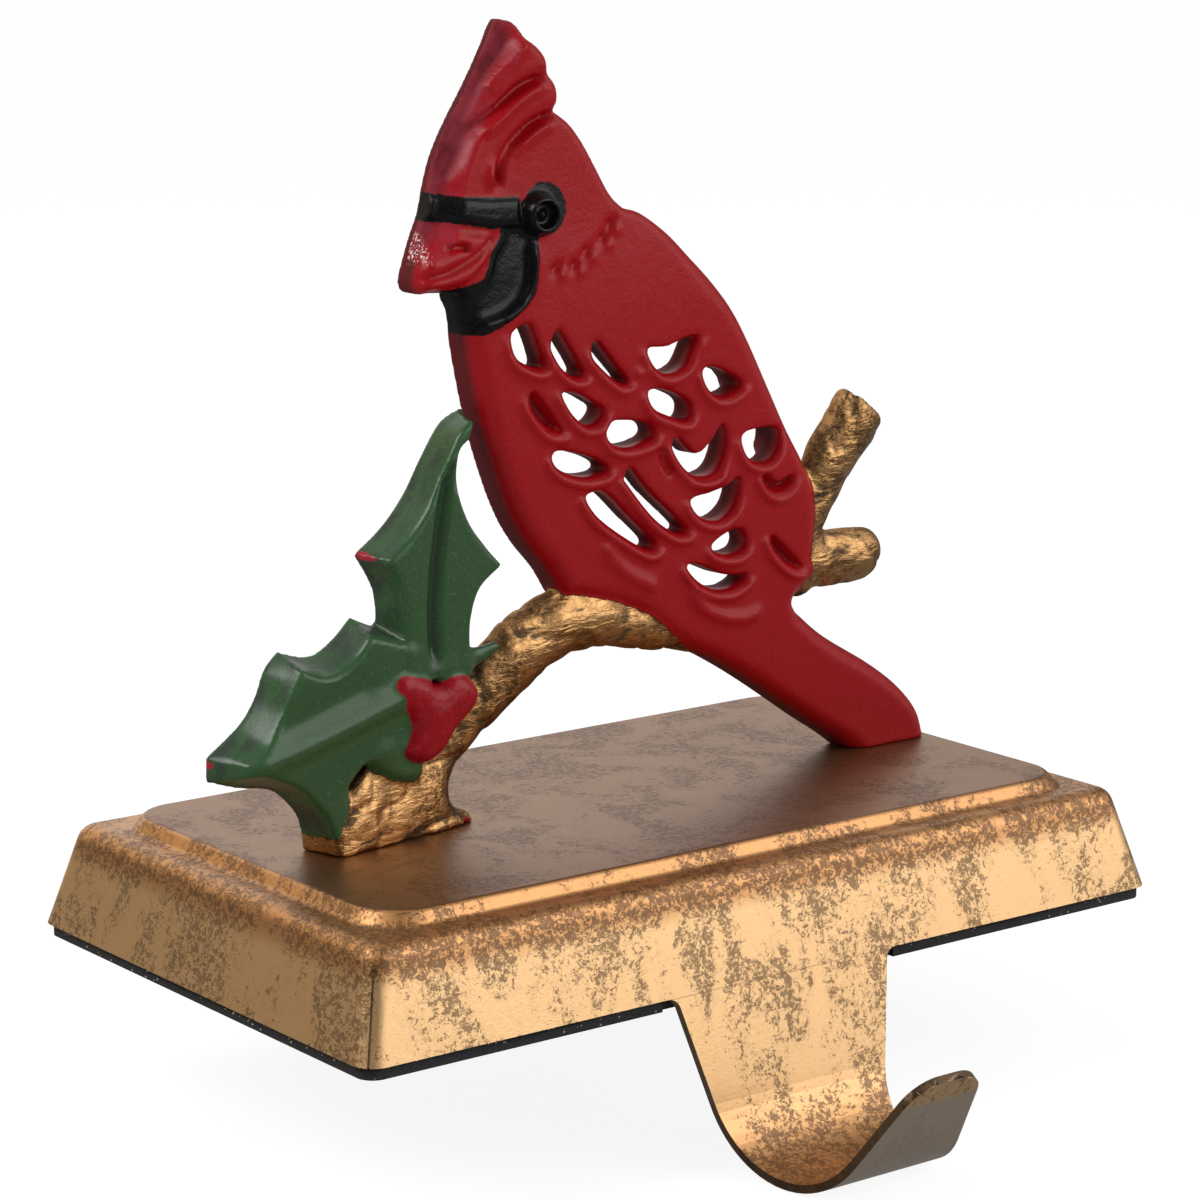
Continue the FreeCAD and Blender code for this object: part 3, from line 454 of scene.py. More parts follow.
crumbs = in_scene("foam_crumbs", pad.data.copy())
scatter = crumbs.modifiers.new("crumbs", "NODES")
scatter.node_group = crumb_nodes()
crumb_settings = {
    "Crumbs per square metre": 300000.0,
    "Radius": CRUMB_RADIUS * MM,
    "Lowest height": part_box("foot_pad")[0].z + 2 * CRUMB_RADIUS * MM,
    "Seed": 4,
    "Finish": plain_finish("pale_rubber", paint(150, 147, 142), 0.8, 0.0, 900.0, 0.05),
}
for socket in scatter.node_group.interface.items_tree:
    if socket.in_out == "INPUT" and socket.name in crumb_settings:
        scatter[socket.identifier] = crumb_settings[socket.name]
bake_modifiers(crumbs)
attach(crumbs, "root")
print("foam crumbs:", len(crumbs.data.polygons), "faces")

# %% [markdown]
# ## Sculpting with distances
#
# The casting is a relief: a flat back, an outline, and a front that swells and dips. Pushing
# a grid of points about would tear at the pierced feathers, so the form is written as a
# distance to its surface, negative inside, on a block of small cubes. Two forms join by the
# smaller distance, and a soft minimum leaves a rounded seam. Drawn outlines come first: every
# run is one smooth curve, and sharp corners lie where one run ends and the next begins.

# %% Drawing outlines
VOXEL = 0.49
LOW_CORNER = (-75.0, -9.4, 18.4)
HIGH_CORNER = (66.6, 5.6, 142.8)
PANEL_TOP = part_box("base_shell")[1].z / MM
CREST_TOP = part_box("cardinal_casting")[1].z / MM
CASTING_BACK = 3.8
FIGURE_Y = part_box("cardinal_casting")[1].y / MM - CASTING_BACK
OUTLINE_STEP, LOOP_STEP, LINE_STEP = 0.7, 0.5, 0.8

xs, ys, zs = (np.arange(low, high, VOXEL, dtype=np.float32) for low, high in zip(LOW_CORNER, HIGH_CORNER))
GRID_X, GRID_Z = np.meshgrid(xs, zs, indexing="ij")
DEPTH = ys[None, :, None]
HEIGHT = zs[None, None, :]


def deep(field):
    """A field drawn in the picture plane, ready to mix with depth."""
    return field[:, None, :]


def smooth_run(run, step=OUTLINE_STEP, closed=False):
    """Points along one smooth curve through the run's points, up to its last."""
    run = np.asarray(run, float)
    if len(run) == 2:
        return run[:1]
    before, after = (run[-1:], run[:2]) if closed else ([2 * run[0] - run[1]], [2 * run[-1] - run[-2]])
    padded = np.vstack([before, run, after])
    points, slopes = padded[1:-1], (padded[2:] - padded[:-2]) / 2
    made = []
    for start, end, leaving, arriving in zip(points, points[1:], slopes, slopes[1:]):
        count = max(2, int(np.linalg.norm(end - start) / step))
        t = np.linspace(0, 1, count, endpoint=False)[:, None]
        made.append((2 * t**3 - 3 * t**2 + 1) * start + (t**3 - 2 * t**2 + t) * leaving
                    + (3 * t**2 - 2 * t**3) * end + (t**3 - t**2) * arriving)
    return np.vstack(made)


def closed_outline(runs):
    """The closed outline of named runs; each run ends where the next one starts."""
    runs = list(runs.values())
    return np.vstack([smooth_run(run + after[:1]) for run, after in zip(runs, runs[1:] + runs[:1])])


def closed_loop(points):
    """One smooth closed curve through a few points."""
    return smooth_run(points, LOOP_STEP, closed=True)

# %% Distances in the picture plane
LEAST_SPAN = 1e-9
LEAST_RISE = 1e-12


def segments_distance(starts, ends, px, pz):
    """Squared distance to the nearest of many segments, and which share along the line it is."""
    best = np.full(px.shape, np.inf, np.float32)
    along = np.zeros(px.shape, np.float32)
    for i, (a, b) in enumerate(zip(starts, ends)):
        span = b - a
        length_sq = max(float(span @ span), LEAST_SPAN)
        t = np.clip(((px - a[0]) * span[0] + (pz - a[1]) * span[1]) / length_sq, 0, 1)
        gap = (px - a[0] - t * span[0]) ** 2 + (pz - a[1] - t * span[1]) ** 2
        nearer = gap < best
        best = np.where(nearer, gap, best)
        along = np.where(nearer, i + t, along)
    return best, along


def outline_distance(polygon, margin=8.0):
    """Signed distance to a closed outline over the whole grid, negative inside."""
    low, high = polygon.min(0) - margin, polygon.max(0) + margin
    ix = slice(*np.searchsorted(xs, [low[0], high[0]]))
    iz = slice(*np.searchsorted(zs, [low[1], high[1]]))
    px, pz = GRID_X[ix, iz], GRID_Z[ix, iz]
    starts, ends = polygon, np.roll(polygon, -1, axis=0)
    gap, _ = segments_distance(starts, ends, px, pz)
    inside = np.zeros(px.shape, bool)
    for a, b in zip(starts, ends):
        crosses = (a[1] > pz) != (b[1] > pz)
        inside ^= crosses & (px < (b[0] - a[0]) * (pz - a[1]) / (b[1] - a[1] + LEAST_RISE) + a[0])
    field = np.full(GRID_X.shape, margin, np.float32)
    field[ix, iz] = np.where(inside, -1, 1) * np.sqrt(gap)
    return field


def line_distance(points, values=None):
    """Distance to a smooth open line, and values given at its points, eased along it."""
    line = np.vstack([smooth_run(points, LINE_STEP), points[-1]])
    gap, along = segments_distance(line[:-1], line[1:], GRID_X, GRID_Z)
    if values is None:
        return np.sqrt(gap)
    knots = np.linspace(0, len(line) - 1, len(points))
    return np.sqrt(gap), np.interp(along, knots, values).astype(np.float32)

# %% Joining and carving
def soft_union(first, second, soft):
    """Two forms joined with a fillet about as wide as soft."""
    share = np.clip(0.5 + 0.5 * (second - first) / soft, 0, 1)
    return second + (first - second) * share - soft * share * (1 - share)


def round_corner(first, second, radius):
    """What lies inside both forms, with their common edge rounded to a radius."""
    outside = np.hypot(np.maximum(first + radius, 0), np.maximum(second + radius, 0))
    return np.minimum(np.maximum(first, second), -radius) + outside


def slab(sides, front_y, back_y, front_round, back_round):
    """A plate between these sides, with its front and back rims rounded."""
    plate = round_corner(sides, deep(front_y) - DEPTH, front_round)
    return round_corner(plate, DEPTH - back_y, back_round)


def ridge(distance, width):
    """A soft bump from 1 on the line to 0 a few widths away."""
    return np.exp(-(distance / width) ** 2)


def ease(value):
    """0 below 0, 1 above 1, and an S curve between."""
    value = np.clip(value, 0, 1)
    return value * value * (3 - 2 * value)


def lattice_noise(spacing, seed):
    """Smooth random lumps over the block, from -1 to 1, about one lump for each spacing."""
    weights = []
    for coords in (xs, ys, zs):
        steps = (coords - coords[0]) / spacing
        low = np.floor(steps).astype(int)
        share = ease(steps - low)
        table = np.zeros((len(coords), low.max() + 2), np.float32)
        table[np.arange(len(coords)), low] = 1 - share
        table[np.arange(len(coords)), low + 1] = share
        weights.append(table)
    lattice = np.random.default_rng(seed).uniform(-1, 1, [w.shape[1] for w in weights]).astype(np.float32)
    return np.einsum("ai,bj,ck,ijk->abc", *weights, lattice, optimize=True)


print("sculpting block:", len(xs), "x", len(ys), "x", len(zs), "cubes of", VOXEL, "mm")

# %% [markdown]
# ## The cardinal
#
# The bird is a slab about 7 mm thick whose face leans back toward the crest. Its front rim is
# well rounded, and on the crest the left side is one long bevel. The wing is pierced by
# sixteen feathers with nearly upright walls, and three more are only hollowed. Under each
# feather the metal rolls up into a thin lip that catches the light.

# %% The bird's outline
BIRD_OUTLINE = {
    "crest tip": [(-18.4, 140.8), (-17.3, 139.8)],
    "second crest lobe": [(-16.6, 138.2), (-14.3, 136.7), (-12.7, 134.8)],
    "third crest lobe": [(-12.6, 132.8), (-11.1, 131.0), (-10.8, 129.0)],
    "nape and back": [(-11.8, 127.3), (-8.6, 125.0), (-6.1, 122.0), (-3.8, 118.3), (-1.3, 114.2),
                      (0.9, 112.2), (4.3, 111.0), (9.4, 107.7), (14.4, 103.4), (18.8, 99.4),
                      (22.7, 94.9), (26.1, 89.5), (30.3, 81.7), (34.1, 74.7), (37.6, 69.0),
                      (39.6, 64.5), (40.1, 59.4), (39.4, 54.0)],
    "wing tip": [(39.9, 50.8), (37.6, 49.0), (35.6, 46.6)],
    "tail top": [(36.6, 44.4), (42.5, 39.7), (52.0, 34.0), (58.4, 29.4), (62.8, 24.7)],
    "tail foot": [(64.5, 20.1), (64.6, 16.0)],
    "tail underside": [(49.6, 16.0), (49.6, 20.1), (39.4, 27.2), (29.1, 34.2), (21.5, 38.8), (14.0, 42.6),
                       (9.0, 46.2), (3.5, 49.6)],
    "belly and breast": [(-9.3, 53.6), (-12.0, 57.8), (-15.2, 61.4), (-17.9, 65.2), (-20.1, 69.6),
                         (-21.8, 74.0), (-23.5, 79.0), (-24.9, 84.3), (-26.0, 89.2), (-26.9, 94.0),
                         (-27.4, 98.3)],
    "beak": [(-29.0, 101.4), (-32.6, 101.6), (-35.2, 102.1), (-36.0, 103.2), (-35.3, 105.7)],
    "brow and crest front": [(-34.0, 109.4), (-32.5, 112.9), (-31.7, 116.3), (-30.6, 120.1),
                             (-29.2, 123.2), (-27.2, 126.6), (-25.0, 130.0), (-22.9, 133.4),
                             (-21.0, 136.8), (-19.4, 140.0)],
}

# %% The pierced and hollowed feathers
FEATHER_HOLES = [
    [(-20.4, 95.0), (-17.3, 96.3), (-15.5, 93.8), (-14.1, 89.4), (-15.7, 88.8), (-19.2, 90.4), (-20.5, 92.6)],
    [(-13.3, 92.5), (-11.7, 95.0), (-9.4, 92.2), (-6.6, 87.7), (-8.0, 86.7), (-10.8, 88.1), (-12.7, 90.6)],
    [(-5.6, 91.3), (-4.4, 92.7), (-1.1, 89.2), (1.9, 85.8), (0.6, 84.9), (-1.8, 86.3), (-5.1, 89.3)],
    [(5.2, 90.5), (9.4, 90.6), (12.8, 91.6), (15.6, 91.6), (14.8, 89.7), (12.9, 86.7), (9.4, 85.7),
     (6.5, 87.3)],
    [(16.0, 85.7), (17.9, 86.7), (21.9, 85.3), (24.4, 83.5), (23.9, 82.2), (20.4, 81.1), (17.4, 82.6)],
    [(-11.3, 85.1), (-8.0, 84.8), (-5.1, 83.4), (-2.7, 81.6), (-4.2, 79.4), (-6.6, 79.3), (-9.4, 81.5)],
    [(5.3, 83.7), (8.4, 84.0), (12.9, 82.2), (14.4, 80.3), (13.4, 78.1), (10.4, 78.8), (6.5, 80.7)],
    [(-2.8, 78.3), (-1.3, 79.9), (2.6, 79.7), (6.0, 78.8), (7.2, 77.1), (6.0, 75.7), (1.6, 75.0),
     (-1.8, 76.1)],
    [(-13.1, 75.7), (-11.3, 76.4), (-5.6, 74.9), (-2.2, 73.0), (-2.7, 71.5), (-6.6, 71.2), (-10.4, 72.3),
     (-12.7, 73.9)],
    [(11.5, 76.1), (15.0, 73.2), (17.9, 74.8), (20.2, 77.4), (21.5, 74.5), (20.5, 71.0), (18.5, 69.2),
     (15.5, 69.0), (12.5, 70.7), (10.0, 74.5)],
    [(24.0, 74.2), (25.5, 75.7), (31.2, 75.9), (32.5, 74.2), (31.7, 71.4), (29.2, 69.7), (25.6, 70.9)],
    [(0.7, 70.6), (2.1, 72.4), (6.5, 67.8), (13.5, 61.4), (11.5, 60.3), (6.6, 63.4), (1.2, 69.5)],
    [(-6.8, 68.3), (-5.1, 69.3), (-2.2, 68.7), (2.6, 64.3), (7.3, 59.8), (6.1, 58.3), (1.7, 60.5),
     (-4.2, 64.7)],
    [(13.8, 65.8), (18.0, 66.7), (21.5, 67.5), (23.6, 68.7), (24.3, 67.0), (23.1, 63.5), (19.6, 61.5),
     (15.5, 62.8)],
    [(18.1, 58.1), (21.1, 59.8), (24.2, 60.2), (25.7, 58.0), (24.7, 56.1), (21.7, 55.7), (18.6, 56.8)],
    [(13.0, 55.2), (15.2, 55.6), (21.2, 53.2), (25.6, 52.7), (25.1, 51.3), (22.2, 50.2), (18.6, 50.6),
     (15.2, 52.5)],
]
FEATHER_HOLLOWS = [
    [(-17.6, 84.6), (-16.7, 86.2), (-14.1, 83.9), (-11.3, 80.1), (-10.8, 78.7), (-13.7, 79.2), (-16.7, 82.2)],
    [(29.8, 57.9), (30.6, 58.6), (33.5, 56.3), (36.7, 53.0), (37.0, 51.6), (34.1, 52.5), (30.9, 55.4)],
    [(28.0, 68.1), (28.9, 68.7), (31.5, 67.1), (34.4, 67.9), (35.4, 67.1), (34.3, 65.5), (32.0, 64.6),
     (29.4, 65.7)],
]
WING_DISH = [(-23.5, 92.1), (-21.0, 97.6), (-8.0, 98.9), (8.0, 97.3), (17.5, 92.6), (26.0, 81.1),
             (33.5, 69.1), (36.0, 59.1), (33.0, 50.1), (24.0, 46.6), (13.0, 47.9), (0.0, 56.1),
             (-11.5, 64.6), (-18.5, 75.1)]
bird_gap = outline_distance(closed_outline(BIRD_OUTLINE), 12.0)
dish_gap = outline_distance(closed_loop(WING_DISH))
hole_gaps = [outline_distance(closed_loop(points)) for points in FEATHER_HOLES]
hollow_gaps = [outline_distance(closed_loop(points)) for points in FEATHER_HOLLOWS]
print("bird:", len(hole_gaps), "pierced feathers,", len(hollow_gaps), "hollowed")

# %% Relief of the wing
LIP_OFFSET, LIP_WIDTH, LIP_HEIGHT = 0.95, 0.62, 0.75
LIP_START, LIP_LEAN = 0.15, 0.2
HOLLOW_DEPTH, HOLLOW_SLOPE = 2.2, 1.3
LINE_FADE = 0.12


def feather_lip(gap):
    """The rolled lip that runs along the lower side of one feather."""
    slope_x, slope_z = np.gradient(gap, VOXEL)
    below = ease(LIP_START - slope_z - LIP_LEAN * slope_x)
    return LIP_HEIGHT * below * ridge(gap - LIP_OFFSET, LIP_WIDTH)


def line_relief(points, height, width):
    """A raised or cut line, by the sign of its height, fading at both ends."""
    distance, along = line_distance(points, np.linspace(0, 1, len(points)))
    fade = ease(along / LINE_FADE) * ease((1 - along) / LINE_FADE)
    return height * fade * ridge(distance, width)


WING_LINES = [
    ([(-3.7, 61.5), (-1.7, 58.1), (1.7, 55.3), (7.6, 52.2)], 0.6, 1.1),
    ([(13.1, 51.9), (16.6, 48.0), (21.7, 45.8), (26.4, 45.7), (28.4, 47.3)], 0.7, 1.0),
    ([(7.8, 74.7), (8.5, 72.3), (10.2, 69.9)], -0.8, 0.55),
    ([(2.6, 86.9), (5.5, 86.2)], 0.5, 0.8),
    ([(12.4, 68.0), (18.0, 67.6), (21.2, 69.2)], 0.5, 0.7),
]
wing_relief = sum(feather_lip(gap) for gap in hole_gaps + hollow_gaps)
wing_relief += sum(line_relief(*line) for line in WING_LINES)
for gap in hollow_gaps:
    wing_relief -= HOLLOW_DEPTH * ease(-gap / HOLLOW_SLOPE)

# %% Relief of the head
CREST_GROOVES = [
    [(-17.9, 140.1), (-19.6, 136.9), (-24.0, 132.1), (-27.6, 125.6), (-29.7, 120.7), (-30.4, 116.6)],
    [(-12.0, 132.6), (-16.7, 131.4), (-21.1, 128.5), (-24.4, 126.0), (-26.6, 124.1), (-28.6, 120.3),
     (-28.9, 118.0)],
    [(-10.6, 127.0), (-13.7, 126.3), (-16.7, 124.7), (-19.7, 122.2), (-21.8, 119.7), (-22.2, 115.8)],
]
CREST_RIDGES = [
    [(-16.0, 138.0), (-20.6, 133.6), (-23.4, 130.6)],
    [(-12.9, 131.8), (-18.0, 129.2), (-21.6, 126.8), (-25.0, 124.4)],
    [(-11.6, 126.2), (-17.0, 123.4), (-22.8, 119.4), (-23.0, 116.0)],
]
CHEEK_DIMPLES = [(-1.3, 110.0), (-2.9, 107.9), (-6.1, 106.1), (-8.4, 104.2), (-11.9, 104.0)]
BROW_BAND = [(-37.0, 116.9), (-30.6, 115.9), (-23.7, 115.2), (-18.3, 115.1), (-18.0, 110.4), (-23.8, 110.6),
             (-29.0, 111.6), (-37.0, 112.6)]
THROAT_PATCH = [(-21.9, 111.5), (-16.0, 111.0), (-15.2, 107.7), (-15.3, 104.0), (-16.3, 100.0), (-19.1, 97.8),
                (-22.8, 95.8), (-27.0, 94.9), (-34.0, 95.6), (-34.0, 101.4), (-30.4, 102.2), (-28.0, 102.6),
                (-25.3, 103.6), (-23.8, 107.0), (-22.0, 109.6)]
THROAT_RIM = [(-16.4, 108.6), (-16.3, 104.4), (-17.4, 100.8), (-20.0, 98.3), (-23.6, 96.9), (-27.4, 96.3)]
BEAK = [(-34.4, 109.6), (-30.0, 110.8), (-22.8, 110.2), (-25.0, 105.6), (-28.0, 102.6), (-34.0, 101.6),
        (-37.6, 102.2), (-37.6, 105.0)]
BEAK_SPLIT = [(-38.0, 103.8), (-32.0, 104.9), (-26.6, 107.2), (-22.8, 110.0)]
LOWER_BEAK = [(-37.0, 102.6), (-31.0, 103.6), (-26.4, 105.6), (-23.4, 108.6)]
NOSTRIL = [(-32.0, 107.8), (-29.9, 108.4), (-28.0, 108.0)]
BAND_RISE, BAND_SLOPE, BEAK_SLOPE = 0.9, 0.9, 1.6
THROAT_SINK, THROAT_INSET, THROAT_SLOPE = 0.7, 0.4, 1.6
DIMPLE_DEPTH, DIMPLE_WIDTH, DIMPLE_SLANT = 0.95, 0.85, 0.5
DIMPLE_LIP, LIP_RIGHT, LIP_DOWN, DIMPLE_LIP_WIDTH = 0.5, 0.9, 1.1, 0.7
EYE_PLACE = (-15.0, 112.3)
EYE_RADIUS, EYE_RISE, EYE_MARGIN, EYE_SLOPE = 3.0, 1.6, 0.5, 0.8
RIM_INSET, RIM_RISE, RIM_WIDTH = 0.7, 1.1, 0.5
PUPIL_RISE, PUPIL_WIDTH = 1.2, 0.75
IRIS_INSET, IRIS_SINK, IRIS_SLOPE = 0.9, 1.0, 0.4

brow_gap = outline_distance(np.array(BROW_BAND))
throat_gap = outline_distance(closed_loop(THROAT_PATCH))
beak_gap = outline_distance(np.array(BEAK))
eye_distance = np.hypot(GRID_X - EYE_PLACE[0], GRID_Z - EYE_PLACE[1])


def cheek_dimple(x, z):
    """A slanting dent with a small swelling below it on its right."""
    across, up = GRID_X - x, GRID_Z - z
    dent = DIMPLE_DEPTH * ridge(np.hypot(across - DIMPLE_SLANT * up, up), DIMPLE_WIDTH)
    return DIMPLE_LIP * ridge(np.hypot(across - LIP_RIGHT, up + LIP_DOWN), DIMPLE_LIP_WIDTH) - dent


GROOVE, CREST_RIDGE = (-1.8, 0.85), (1.0, 0.8)
head_relief = sum(line_relief(line, *GROOVE) for line in CREST_GROOVES)
head_relief += sum(line_relief(line, *CREST_RIDGE) for line in CREST_RIDGES)
head_relief += BAND_RISE * (ease(-brow_gap / BAND_SLOPE) + ease(-beak_gap / BEAK_SLOPE))
head_relief -= THROAT_SINK * ease((-throat_gap - THROAT_INSET) / THROAT_SLOPE)
for line, height, width in ((THROAT_RIM, 1.3, 0.75), (BEAK_SPLIT, -0.8, 0.5), (LOWER_BEAK, 0.4, 0.5),
                            (NOSTRIL, -1.3, 0.6)):
    head_relief += line_relief(line, height, width)
head_relief += sum(cheek_dimple(x, z) for x, z in CHEEK_DIMPLES)
eye_form = EYE_RISE * ease((EYE_RADIUS + EYE_MARGIN - eye_distance) / EYE_SLOPE)
eye_form -= IRIS_SINK * ease((EYE_RADIUS - IRIS_INSET - eye_distance) / IRIS_SLOPE)
eye_form += RIM_RISE * ridge(eye_distance - EYE_RADIUS + RIM_INSET, RIM_WIDTH)
eye_form += PUPIL_RISE * ridge(eye_distance, PUPIL_WIDTH)
head_relief = head_relief * ease((eye_distance - EYE_RADIUS) / EYE_SLOPE) + eye_form

# %% The bird as a solid
FACE_LEAN = [(84.0, -3.2), (95.0, -3.1), (104.0, -2.7), (112.0, -2.1), (125.0, -1.6), (142.0, -1.2)]
BREAST_ROUND, CREST_ROUND = 3.0, 1.2
RIGHT_EDGE_ROOM, LEFT_EDGE_ROOM = 0.45, 0.85
EDGE_TURN = 1.5
BACK_ROUND = 0.7
HOLE_ROUND, HOLE_DRAFT, HOLE_SHRINK = 0.8, 0.03, 0.3
DISH_DEPTH = 1.8
BEVEL_WIDTH, BEVEL_DEPTH, BEVEL_FROM, BEVEL_FADE = 3.4, 2.7, 103, 6
HEAD_FROM, HEAD_FADE = 98, 14
THINNEST_PLATE = 2.1

lean_line = np.vstack([smooth_run(FACE_LEAN, LOOP_STEP), FACE_LEAN[-1]])
lean = np.interp(GRID_Z, lean_line[:, 0], lean_line[:, 1]).astype(np.float32)
crest_front = line_distance(BIRD_OUTLINE["brow and crest front"])
bevel = BEVEL_DEPTH * np.clip(1 - crest_front / BEVEL_WIDTH, 0, 1) * ease((GRID_Z - BEVEL_FROM) / BEVEL_FADE)
bird_face = np.minimum(lean - wing_relief - head_relief + bevel, CASTING_BACK - THINNEST_PLATE)
rounding = BREAST_ROUND + (CREST_ROUND - BREAST_ROUND) * ease((GRID_Z - HEAD_FROM) / HEAD_FADE)

# Rounded rims take width away, so the drawn edge is given room on both sides.
slope_x = np.gradient(bird_gap, VOXEL)[0]
edge_room = RIGHT_EDGE_ROOM * ease(EDGE_TURN * slope_x) + LEFT_EDGE_ROOM * ease(-EDGE_TURN * slope_x)
back_y = CASTING_BACK - DISH_DEPTH * ease(-dish_gap / DISH_DEPTH)
bird = slab(deep(bird_gap - edge_room), bird_face, deep(back_y), deep(rounding), BACK_ROUND)
holes_gap = deep(np.minimum.reduce(hole_gaps) + HOLE_SHRINK) + HOLE_DRAFT * (DEPTH - deep(lean))
bird = round_corner(bird, -holes_gap, HOLE_ROUND)
print("bird solid made")

# %% [markdown]
# ## Branch and twigs
#
# The branch is a bent bar with a carved bark of soft lumps and thin cords, and a foot that
# spreads on the panel. Its two cut twigs show behind the wing.

# %% Branch, twigs and foot
BRANCH_Y = 0.2
BRANCH_FLATNESS = 0.7


def bar(line, middle_y=BRANCH_Y):
    """A bar along (x, z, radius) points, its round section flattened in depth."""
    distance, radius = line_distance([(x, z) for x, z, _ in line], [radius for _, _, radius in line])
    return np.hypot(deep(distance), (DEPTH - middle_y) / BRANCH_FLATNESS) - deep(radius)


stem = bar([(-36.6, 24.0, 3.9), (-33.3, 30.8, 4.0), (-28.5, 36.7, 4.9), (-21.0, 42.8, 5.4),
            (-13.7, 47.2, 5.3), (-7.4, 49.0, 5.0), (0.5, 47.9, 4.2), (8.5, 45.8, 3.6), (18.0, 43.5, 3.3)])
upper_twig = bar([(38.0, 50.0, 3.6), (40.0, 58.0, 3.5), (44.8, 68.4, 4.5), (50.2, 74.8, 5.0),
                  (54.8, 80.4, 5.1)])
lower_twig = bar([(34.0, 53.0, 3.8), (43.0, 52.5, 4.3), (49.0, 52.3, 4.6), (51.4, 52.2, 4.2)])

CUT_X, CUT_Z, CUT_SLOPE, CUT_ROUND = 51.4, 76.9, math.radians(50), 0.8
above_cut = (GRID_X - CUT_X) * math.cos(CUT_SLOPE) + (GRID_Z - CUT_Z) * math.sin(CUT_SLOPE)
upper_twig = round_corner(upper_twig, deep(above_cut), CUT_ROUND)

FOOT_OUTLINE = [(-54.4, 14.0), (-26.6, 14.0), (-27.0, 21.0), (-30.2, 22.8), (-33.0, 26.0), (-34.6, 31.0),
                (-39.0, 35.6), (-44.6, 34.0), (-49.6, 31.0), (-53.6, 26.4), (-54.6, 20.0)]
FOOT_PLAN = [(-55.0, -6.2), (-52.6, -6.2), (-40.0, -4.2), (-27.0, -1.6)]
FOOT_LEAN, FOOT_LEAN_FROM, FOOT_LEAN_REACH, FOOT_ROUND = 0.12, 24, 20, 1.6
foot_gap = outline_distance(closed_loop(FOOT_OUTLINE))
foot_front = np.interp(GRID_X, *zip(*FOOT_PLAN)).astype(np.float32)
foot_front += FOOT_LEAN * np.clip(GRID_Z - FOOT_LEAN_FROM, 0, FOOT_LEAN_REACH)
foot = slab(deep(foot_gap), foot_front, CASTING_BACK, FOOT_ROUND, BACK_ROUND)

FOOT_FILLET, FORK_FILLET, STEM_FILLET = 3.0, 1.6, 1.0
# The branch runs behind the bird: inside the bird's outline it keeps off the face.
SEEN_FROM, SEEN_SLOPE, SEEN_MARGIN, SEEN_REACH = 0.5, 5, 1.2, 2
branch = soft_union(soft_union(stem, foot, FOOT_FILLET), soft_union(upper_twig, lower_twig, FORK_FILLET),
                    STEM_FILLET)
hidden_y = SEEN_FROM - SEEN_SLOPE * np.clip(bird_gap + SEEN_MARGIN, 0, SEEN_REACH)
branch = np.maximum(branch, deep(hidden_y) - DEPTH)

# Lumps as (height, spacing, seed), and thin raised cords where a third noise passes zero.
BARK_LUMPS = [(0.34, 4.6, 11), (0.16, 2.1, 12)]
CORD_HEIGHT, CORD_SPACING, CORD_SEED, CORD_WIDTH = 0.34, 5.2, 13, 0.12
BARK_SINK = 0.06
bark = sum(height * lattice_noise(spacing, seed) for height, spacing, seed in BARK_LUMPS)
bark = bark + CORD_HEIGHT * ridge(lattice_noise(CORD_SPACING, CORD_SEED), CORD_WIDTH) - BARK_SINK
branch = round_corner(branch + bark, DEPTH - CASTING_BACK, BACK_ROUND)

# %% [markdown]
# ## Holly leaves and berries
#
# Each leaf is a thick plate that narrows toward the front, so its scalloped sides slope and
# show a second edge inside the first. The upper leaf has a cut midrib, the lower one a raised
# roof-like rib. The berries have run together into one glossy three-lobed drop.

# %% Leaves
LEAF_BACK_Y, LEAF_FRONT_Y = 1.4, -5.6
LEAF_EDGE_ROOM = 0.5
LEAF_ROUND, LEAF_BACK_ROUND = 0.6, 0.5
UPPER_LEAF_BACK = {
    "left edge": [(-26.5, 84.0), (-30.8, 81.6), (-34.4, 76.6), (-37.5, 71.6), (-41.4, 67.2)],
    "below left spike": [(-46.3, 63.6), (-44.4, 60.6), (-43.0, 57.4), (-42.7, 53.0)],
    "base": [(-42.6, 44.0)],
    "below right spike": [(-28.5, 44.0), (-29.0, 48.0), (-28.7, 52.0), (-27.4, 56.5)],
    "right edge": [(-24.0, 60.5), (-26.8, 63.9), (-30.0, 68.0), (-31.4, 73.4), (-30.6, 77.6)],
    "tip": [(-27.6, 79.0)],
}
UPPER_LEAF_FRONT = {
    "left edge": [(-29.0, 83.0), (-31.8, 81.0), (-34.4, 76.0), (-37.3, 70.6), (-40.8, 66.4)],
    "below left spike": [(-44.7, 63.3), (-42.9, 60.6), (-41.9, 57.4), (-41.5, 53.0)],
    "base": [(-41.2, 44.5)],
    "below right spike": [(-29.8, 44.5), (-30.2, 48.6), (-30.0, 53.0), (-28.3, 57.4)],
    "right edge": [(-24.2, 60.4), (-27.2, 63.6), (-30.3, 67.8), (-32.3, 73.4), (-31.9, 78.4)],
    "tip": [(-30.0, 80.2)],
}
LOWER_LEAF_BACK = {
    "joint": [(-40.0, 50.0), (-43.0, 52.2)],
    "first hollow": [(-47.2, 54.3), (-50.0, 51.6), (-53.2, 49.9), (-56.4, 49.8)],
    "second hollow": [(-60.0, 50.8), (-62.5, 48.2), (-64.2, 44.2), (-67.0, 40.6)],
    "tip": [(-72.6, 36.6)],
    "under edge": [(-72.8, 33.2), (-67.0, 31.2), (-61.4, 30.0), (-58.2, 27.2), (-56.6, 24.0)],
    "foot": [(-55.6, 16.0)],
    "foot right": [(-50.0, 16.0)],
    "inner edge": [(-50.0, 30.0), (-46.0, 33.5)],
    "inner end": [(-40.0, 34.0)],
}
